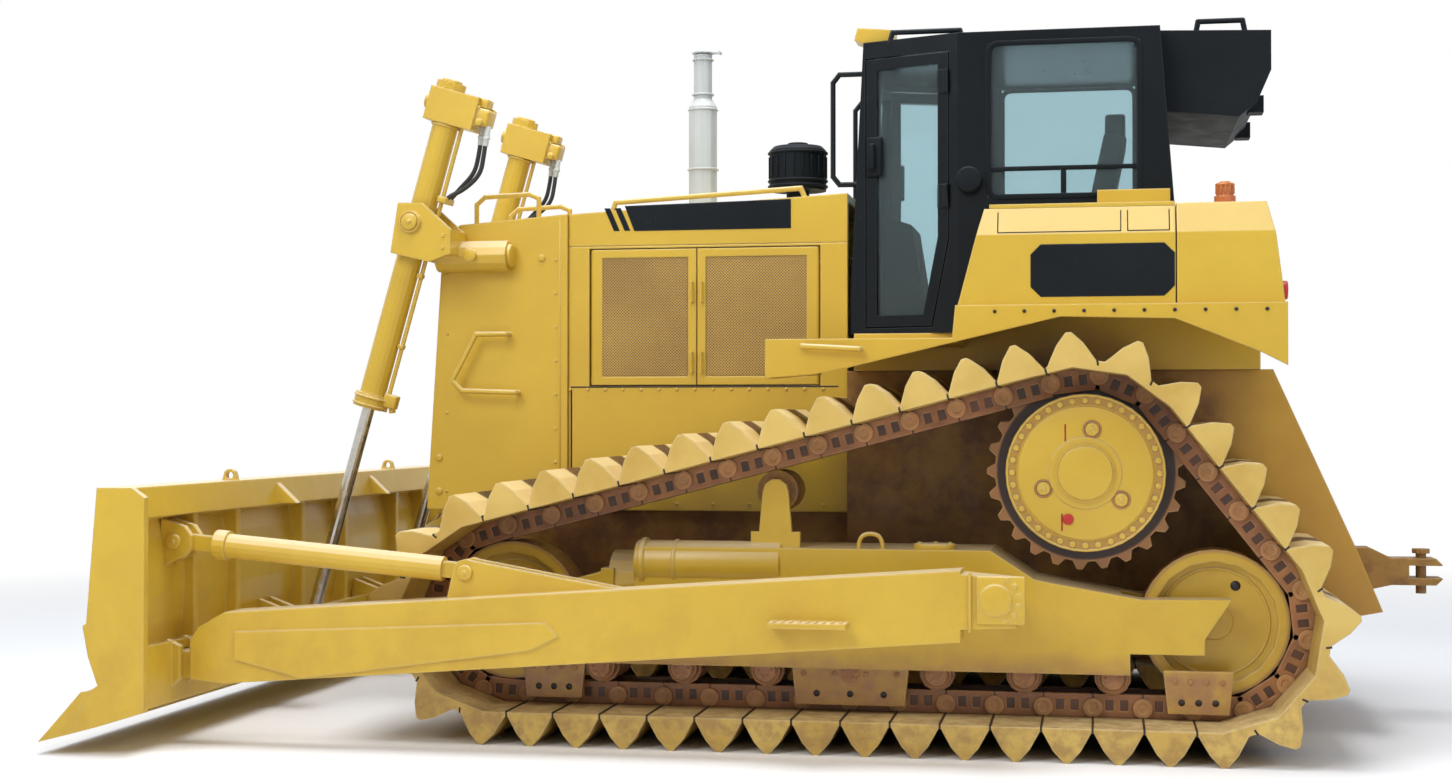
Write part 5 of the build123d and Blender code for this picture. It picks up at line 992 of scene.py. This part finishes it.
for side, sign in sides:
    (x0, x1), (z0, z1) = window["x"], window["z"]
    middle, y = (x0 + x1) / 2, sign * window["barY"]
    frames = [gasket(window["x"], window["z"], sign * window["y"]),
              trim(plate((x1 - x0, 0.014, 0.022), (middle, y, window["railZ"])), 0.004),
              trim(plate((0.026, 0.014, window["railZ"] - z0), (middle, y, window["barZ"])), 0.004)]
    assemble(frames, "window_gaskets_" + side, blackMoulded)
    # the handle is seated where the door's face is
    x, z = handle["place"]
    place, normal = seatOn("cab_door_" + side, (x, sign * 3.0, z), (0, -sign, 0))
    out = normal if normal.y * sign > 0 else -normal
    turn = (0, 0, math.atan2(out.y, out.x))
    grips = [trim(plate(size, place + out * rise, turn), width, 3)
             for size, rise, width in (handle["foot"], handle["bar"])]
    assemble(grips, "door_handle_" + side, blackMoulded, "cab_door_" + side)
    x, z = knob["place"]
    place, normal = seatOn("cab_frame", (x, sign * 3.0, z), (0, -sign, 0))
    turnings = []
    for start, end, radius, count, width, steps in (knob["stem"], knob["head"]):
        ends = [place + Vector((0, sign * out, 0)) for out in (start, end)]
        turnings.append(trim(shaft(*ends, radius, count), width, steps))
    assemble(turnings, "cab_knob_" + side, blackMoulded)
print("stage: cab")

# seat: crowned cushions replace the plain solid, on their black base
seat = {"base": ((0.36, 0.36, 0.300), (-1.240, 0, 2.105)), "steps": 5, "fill": 0.7,
        # size, place, lean in degrees and crown of each cushion
        "seat_cushion": ((0.50, 0.50, 0.125), (-1.240, 0, 2.315), 0, 0.25),
        "seat_back": ((0.50, 0.50, 0.110), (-1.495, 0, 2.625), 78, 0.18),
        "seat_headrest": ((0.10, 0.26, 0.130), (-1.545, 0, 2.920), 0, 0.10)}


def cushion(size, place, lean, crown):
    # a plate that is swollen on top and drawn in at the middle of its sides
    piece = plate(size, (0, 0, 0))
    editAll(piece)
    bpy.ops.mesh.subdivide(number_cuts=seat["steps"])
    bpy.ops.object.mode_set(mode="OBJECT")
    for point in piece.data.vertices:
        x, y, z = point.co
        point.co.z = z + (crown if z > 0.4 else crown * 0.3 * z) * (1 - 4 * x * x) * (1 - 4 * y * y)
        point.co.x = x * (1 - 0.10 * (1 - 4 * y * y) * (abs(x) > 0.49))
        point.co.y = y * (1 - 0.08 * (1 - 4 * x * x) * (abs(y) > 0.49))
    bakePlace(piece)
    roundEdges(piece, min(size) * 0.18, 3, 50)
    smooth(piece, 60)
    piece.location = place
    piece.rotation_euler = (0, math.radians(lean), 0)
    return piece


seatBase = assemble([trim(plate(*seat["base"]), 0.02, 3)], "seat_base", blackMoulded)
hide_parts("seat")
for name in ("seat_cushion", "seat_back", "seat_headrest"):
    assemble([cushion(*seat[name])], name, seatCloth)
print("stage: seat")

# side boxes and fenders: blank dark panel, seams of the covers as dark lines of painted shade, bolt row and
# rear lamp
box = {"panelX": (-1.793, -1.165), "panelZ": (2.010, 2.245), "cut": 0.045,
       "covers": ((-1.560, -1.020), (-1.770, -1.590)), "coverZ": (2.300, 2.395),
       "seamR": 0.0028, "boltEnds": (-2180, -880, 130), "boltZ": 1.945,
       "lamp": (1.05, 2.040, 0.042)}
for side, sign in sides:
    boxName = "side_box_" + side
    nodeLow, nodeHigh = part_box(boxName)
    face = nodeHigh.y if sign > 0 else nodeLow.y
    (x0, x1), (z0, z1) = box["panelX"], box["panelZ"]
    middle = ((x0 + x1) / 2, face + sign * 0.002, (z0 + z1) / 2)
    bpy.ops.mesh.primitive_plane_add(size=1, location=middle, rotation=(sign * math.pi / 2, 0, 0))
    panel = bpy.context.object
    panel.scale = (x1 - x0, z1 - z0, 1)
    bakePlace(panel)
    editAll(panel)
    bpy.ops.mesh.bevel(offset=box["cut"], segments=1, affect="VERTICES")
    bpy.ops.mesh.select_all(action="SELECT")
    bpy.ops.mesh.extrude_region_move(TRANSFORM_OT_translate={"value": (0, -sign * 0.003, 0)})
    bpy.ops.mesh.select_all(action="SELECT")
    bpy.ops.mesh.normals_make_consistent(inside=False)
    bpy.ops.object.mode_set(mode="OBJECT")
    assemble([trim(panel, 0.001, 1)], "box_panel_" + side, blackPaint)
    grooves = []
    low, high = box["coverZ"]
    for x0, x1 in box["covers"]:
        for line in (((x0, low), (x1, low)), ((x0, low), (x0, high)), ((x1, low), (x1, high))):
            ends = [seatOn(boxName, (x, sign * 3.0, z), (0, -sign, 0))[0] for x, z in line]
            grooves.append(shaft(*ends, box["seamR"], 6))
    smoothAll(grooves)
    assemble(grooves, "box_seams_" + side, shadeAndDarkSteel)
    spots = [seatOn("fenders", (x / 1000, sign * 3.0, box["boltZ"]), (0, -sign, 0))[0]
             for x in range(*box["boltEnds"])]
    heads = boltRow(0.009, [spot for spot in spots if spot], (0, sign, 0))
    assemble(heads, "fender_bolts_" + side, shadeAndDarkSteel)
    y, z, radius = box["lamp"]
    place, normal = seatOn("fuel_tank", (-3.5, sign * y, z), (1, 0, 0))
    lamp = shaft(place - Vector((0.004, 0, 0)), place - Vector((0.034, 0, 0)), radius, 24)
    assemble([trim(lamp, 0.006, 3)], "rear_marker_" + side, redPaint)

# collar, grip ribs and dome of the tank's filler cap
cap = {"collarR": 0.048, "collar": 0.011, "rimR": 0.036, "rim": 0.008, "dome": (0.026, 0.016), "ribs": 12,
       "ribR": 0.037, "ribSize": (0.012, 0.009, 0.036)}
corners = [Vector(corner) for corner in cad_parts["filler_cap"].bound_box]
capFoot, capTop = min(corner.z for corner in corners), max(corner.z for corner in corners)
x, y = (sum(corners, Vector()) / 8).xy
rims = [ring(cap["collarR"], cap["collar"], (x, y, capFoot + cap["collar"]), (0, 0, 0)),
        ring(cap["rimR"], cap["rim"], (x, y, capTop - 0.004), (0, 0, 0))]
smoothAll(rims)
capTrim = rims + [trim(disc(*cap["dome"], (x, y, capTop + 0.004), (0, 0, 0)), 0.007, 3)]
for index in range(cap["ribs"]):
    angle = 2 * math.pi * index / cap["ribs"]
    at = (x + cap["ribR"] * math.cos(angle), y + cap["ribR"] * math.sin(angle), capTop - 0.028)
    capTrim.append(trim(plate(cap["ribSize"], at, (0, 0, angle)), 0.003))
assemble(capTrim, "cap_trim", orangePlastic)
print("stage: boxes and fenders")

# blade: bolts along the cutting edge, pin caps on the ears, and the raised bars of the arm's step
blade = {"bolts": (150, 2150, 180), "boltZ": 0.235, "boltSize": 0.015,
         # x, z, y and radius of each pin cap
         "caps": ((2.731, 0.359, 1.850, 0.040), (1.288, 0.789, 1.765, 0.034), (2.672, 0.911, 1.765, 0.034))}
tread = {"ends": (-400, -100, 35), "y": 1.898, "z": 0.614, "size": (0.010, 0.080, 0.006)}
for side, sign in sides:
    heads = []
    for y in range(*blade["bolts"]):
        place, normal = seatOn("cutting_edge", (4.0, sign * y / 1000, blade["boltZ"]), (-1, 0, 0))
        if place:
            heads += boltRow(blade["boltSize"], [place], normal)
    assemble(heads, "edge_bolts_" + side, chainSteel, "blade")
    caps = []
    for x, z, y, radius in blade["caps"]:
        caps.append(trim(disc(radius, 0.024, (x, sign * (y + 0.006), z)), 0.005))
        caps += boltRow(0.010, [(x, sign * (y + 0.017), z)], (0, sign, 0))
    assemble(caps, "pin_caps_" + side, yellowPaint, "blade")
    spots = [(x / 1000, sign * tread["y"], tread["z"]) for x in range(*tread["ends"])]
    treads = [trim(plate(tread["size"], spot), 0.002) for spot in spots]
    assemble(treads, "step_treads_" + side, yellowPaint, "blade")
print("stage: blade")

# idlers: the axle's cap, a ring on the disc, and the rear one's filler hole as a dark disc of painted shade
idler = {"z": track["lug"] + track["idlerR"], "faceY": track["chainY"] + 0.055, "capR": 0.080,
         "ringR": 0.235, "hole": (-0.090, 0.160, 0.022)}
for side, sign in sides:
    parts = []
    y, z = sign * idler["faceY"], idler["z"]
    for x in (track["rearX"], frontIdlerX):
        parts.append(trim(disc(idler["capR"], 0.020, (x, y, z), sides=28), 0.006, 3))
        parts.append(ring(idler["ringR"], 0.007, (x, y, z)))
        smooth(parts[-1])
    assemble(parts, "idler_trim_" + side, yellowPaint)
    dx, dz, radius = idler["hole"]
    hole = trim(disc(radius, 0.004, (track["rearX"] + dx, y + sign * 0.001, z + dz), sides=20), 0.001)
    assemble([hole], "idler_hole_" + side, shadeAndDarkSteel)
print("stage: idlers")

# floor and light: the floor keeps the shadow near the machine and is plain white farther out
ground = {"size": 160, "tones": ((0.82, 0.82, 0.83, 1), (0.86, 0.86, 0.87, 1)), "shadowOut": (5.5, 11.0)}
white = {"Color": (1, 1, 1, 1), "Strength": 1.0}
floorPaint = Graph("paleFloor")
floorPaint.feed("Base Color", floorPaint.mix(floorPaint.noise(0.6, 3), *ground["tones"]))
floorPaint.feed("Roughness", 0.9)
floorPaint.feed("Specular IOR Level", 0.0)
far = floorPaint.add("VectorMath", {"operation": "LENGTH"}, {0: floorPaint.place}).outputs["Value"]
glow = floorPaint.add("Emission", None, white)
# the white is only what a camera, a mirror or a window sees: it puts no light on the machine
seenBy = floorPaint.add("LightPath").outputs
direct = floorPaint.math("MAXIMUM", seenBy["Is Camera Ray"], seenBy["Is Glossy Ray"])
direct = floorPaint.math("MAXIMUM", direct, seenBy["Is Transmission Ray"])
share = floorPaint.times(floorPaint.remap(far, *ground["shadowOut"]), direct)
fade = floorPaint.add("MixShader", None, {0: share, 1: floorPaint.shader.outputs[0], 2: glow.outputs[0]})
floorPaint.links.new(fade.outputs[0], floorPaint.nodes["Material Output"].inputs["Surface"])
bpy.ops.mesh.primitive_plane_add(size=ground["size"], location=(0, 0, 0))
floor = bpy.context.object
floor.name = "floor"
floor.data.materials.append(floorPaint.material)

sky = {"low": 0.16, "high": 0.85, "tint": (0.86, 0.92, 1.0, 1)}
world = bpy.data.worlds.new("studio")
bpy.context.scene.world = world
world.use_nodes = True
worldNodes, worldLinks = world.node_tree.nodes, world.node_tree.links


def worldNode(kind, inputs=None):
    node = worldNodes.new("ShaderNode" + kind)
    for key, value in (inputs or {}).items():
        if isinstance(value, bpy.types.NodeSocket):
            worldLinks.new(value, node.inputs[key])
        else:
            node.inputs[key].default_value = value
    return node


def worldMaximum(first, second):
    node = worldNode("Math", {0: first, 1: second})
    node.operation = "MAXIMUM"
    return node.outputs[0]


height = worldNode("SeparateXYZ", {0: worldNode("TexCoord").outputs["Generated"]}).outputs[2]
strength = worldNode("MapRange", {0: height, 1: 0.0, 2: 1.0, 3: sky["low"], 4: sky["high"]}).outputs[0]
dome = worldNode("Background", {"Color": sky["tint"], "Strength": strength})
backdrop = worldNode("Background", white)
path = worldNode("LightPath").outputs
seen = worldMaximum(worldMaximum(path["Is Camera Ray"], path["Is Transmission Ray"]), path["Is Glossy Ray"])
blendSky = worldNode("MixShader", {0: seen, 1: dome.outputs[0], 2: backdrop.outputs[0]})
worldLinks.new(blendSky.outputs[0], worldNodes["World Output"].inputs["Surface"])

# place, power and size of each lamp
lamps = {"key": ((4.5, 9.0, 8.0), 500, 5.0), "fill": ((-8.0, 8.5, 5.0), 190, 6.0),
         "top": ((0, 1.5, 11.0), 900, 6.0)}
aim = Vector((0, 0, 1.2))
for name, (place, power, size) in lamps.items():
    bpy.ops.object.light_add(type="AREA", location=place)
    lamp = bpy.context.object
    lamp.name = name
    lamp.data.energy = power
    lamp.data.size = size
    lamp.rotation_euler = (aim - Vector(place)).to_track_quat("-Z", "Y").to_euler()
print("stage: light")

for model in boltModels.values():
    removePiece(model)
clearSelection()
print("stage: done")
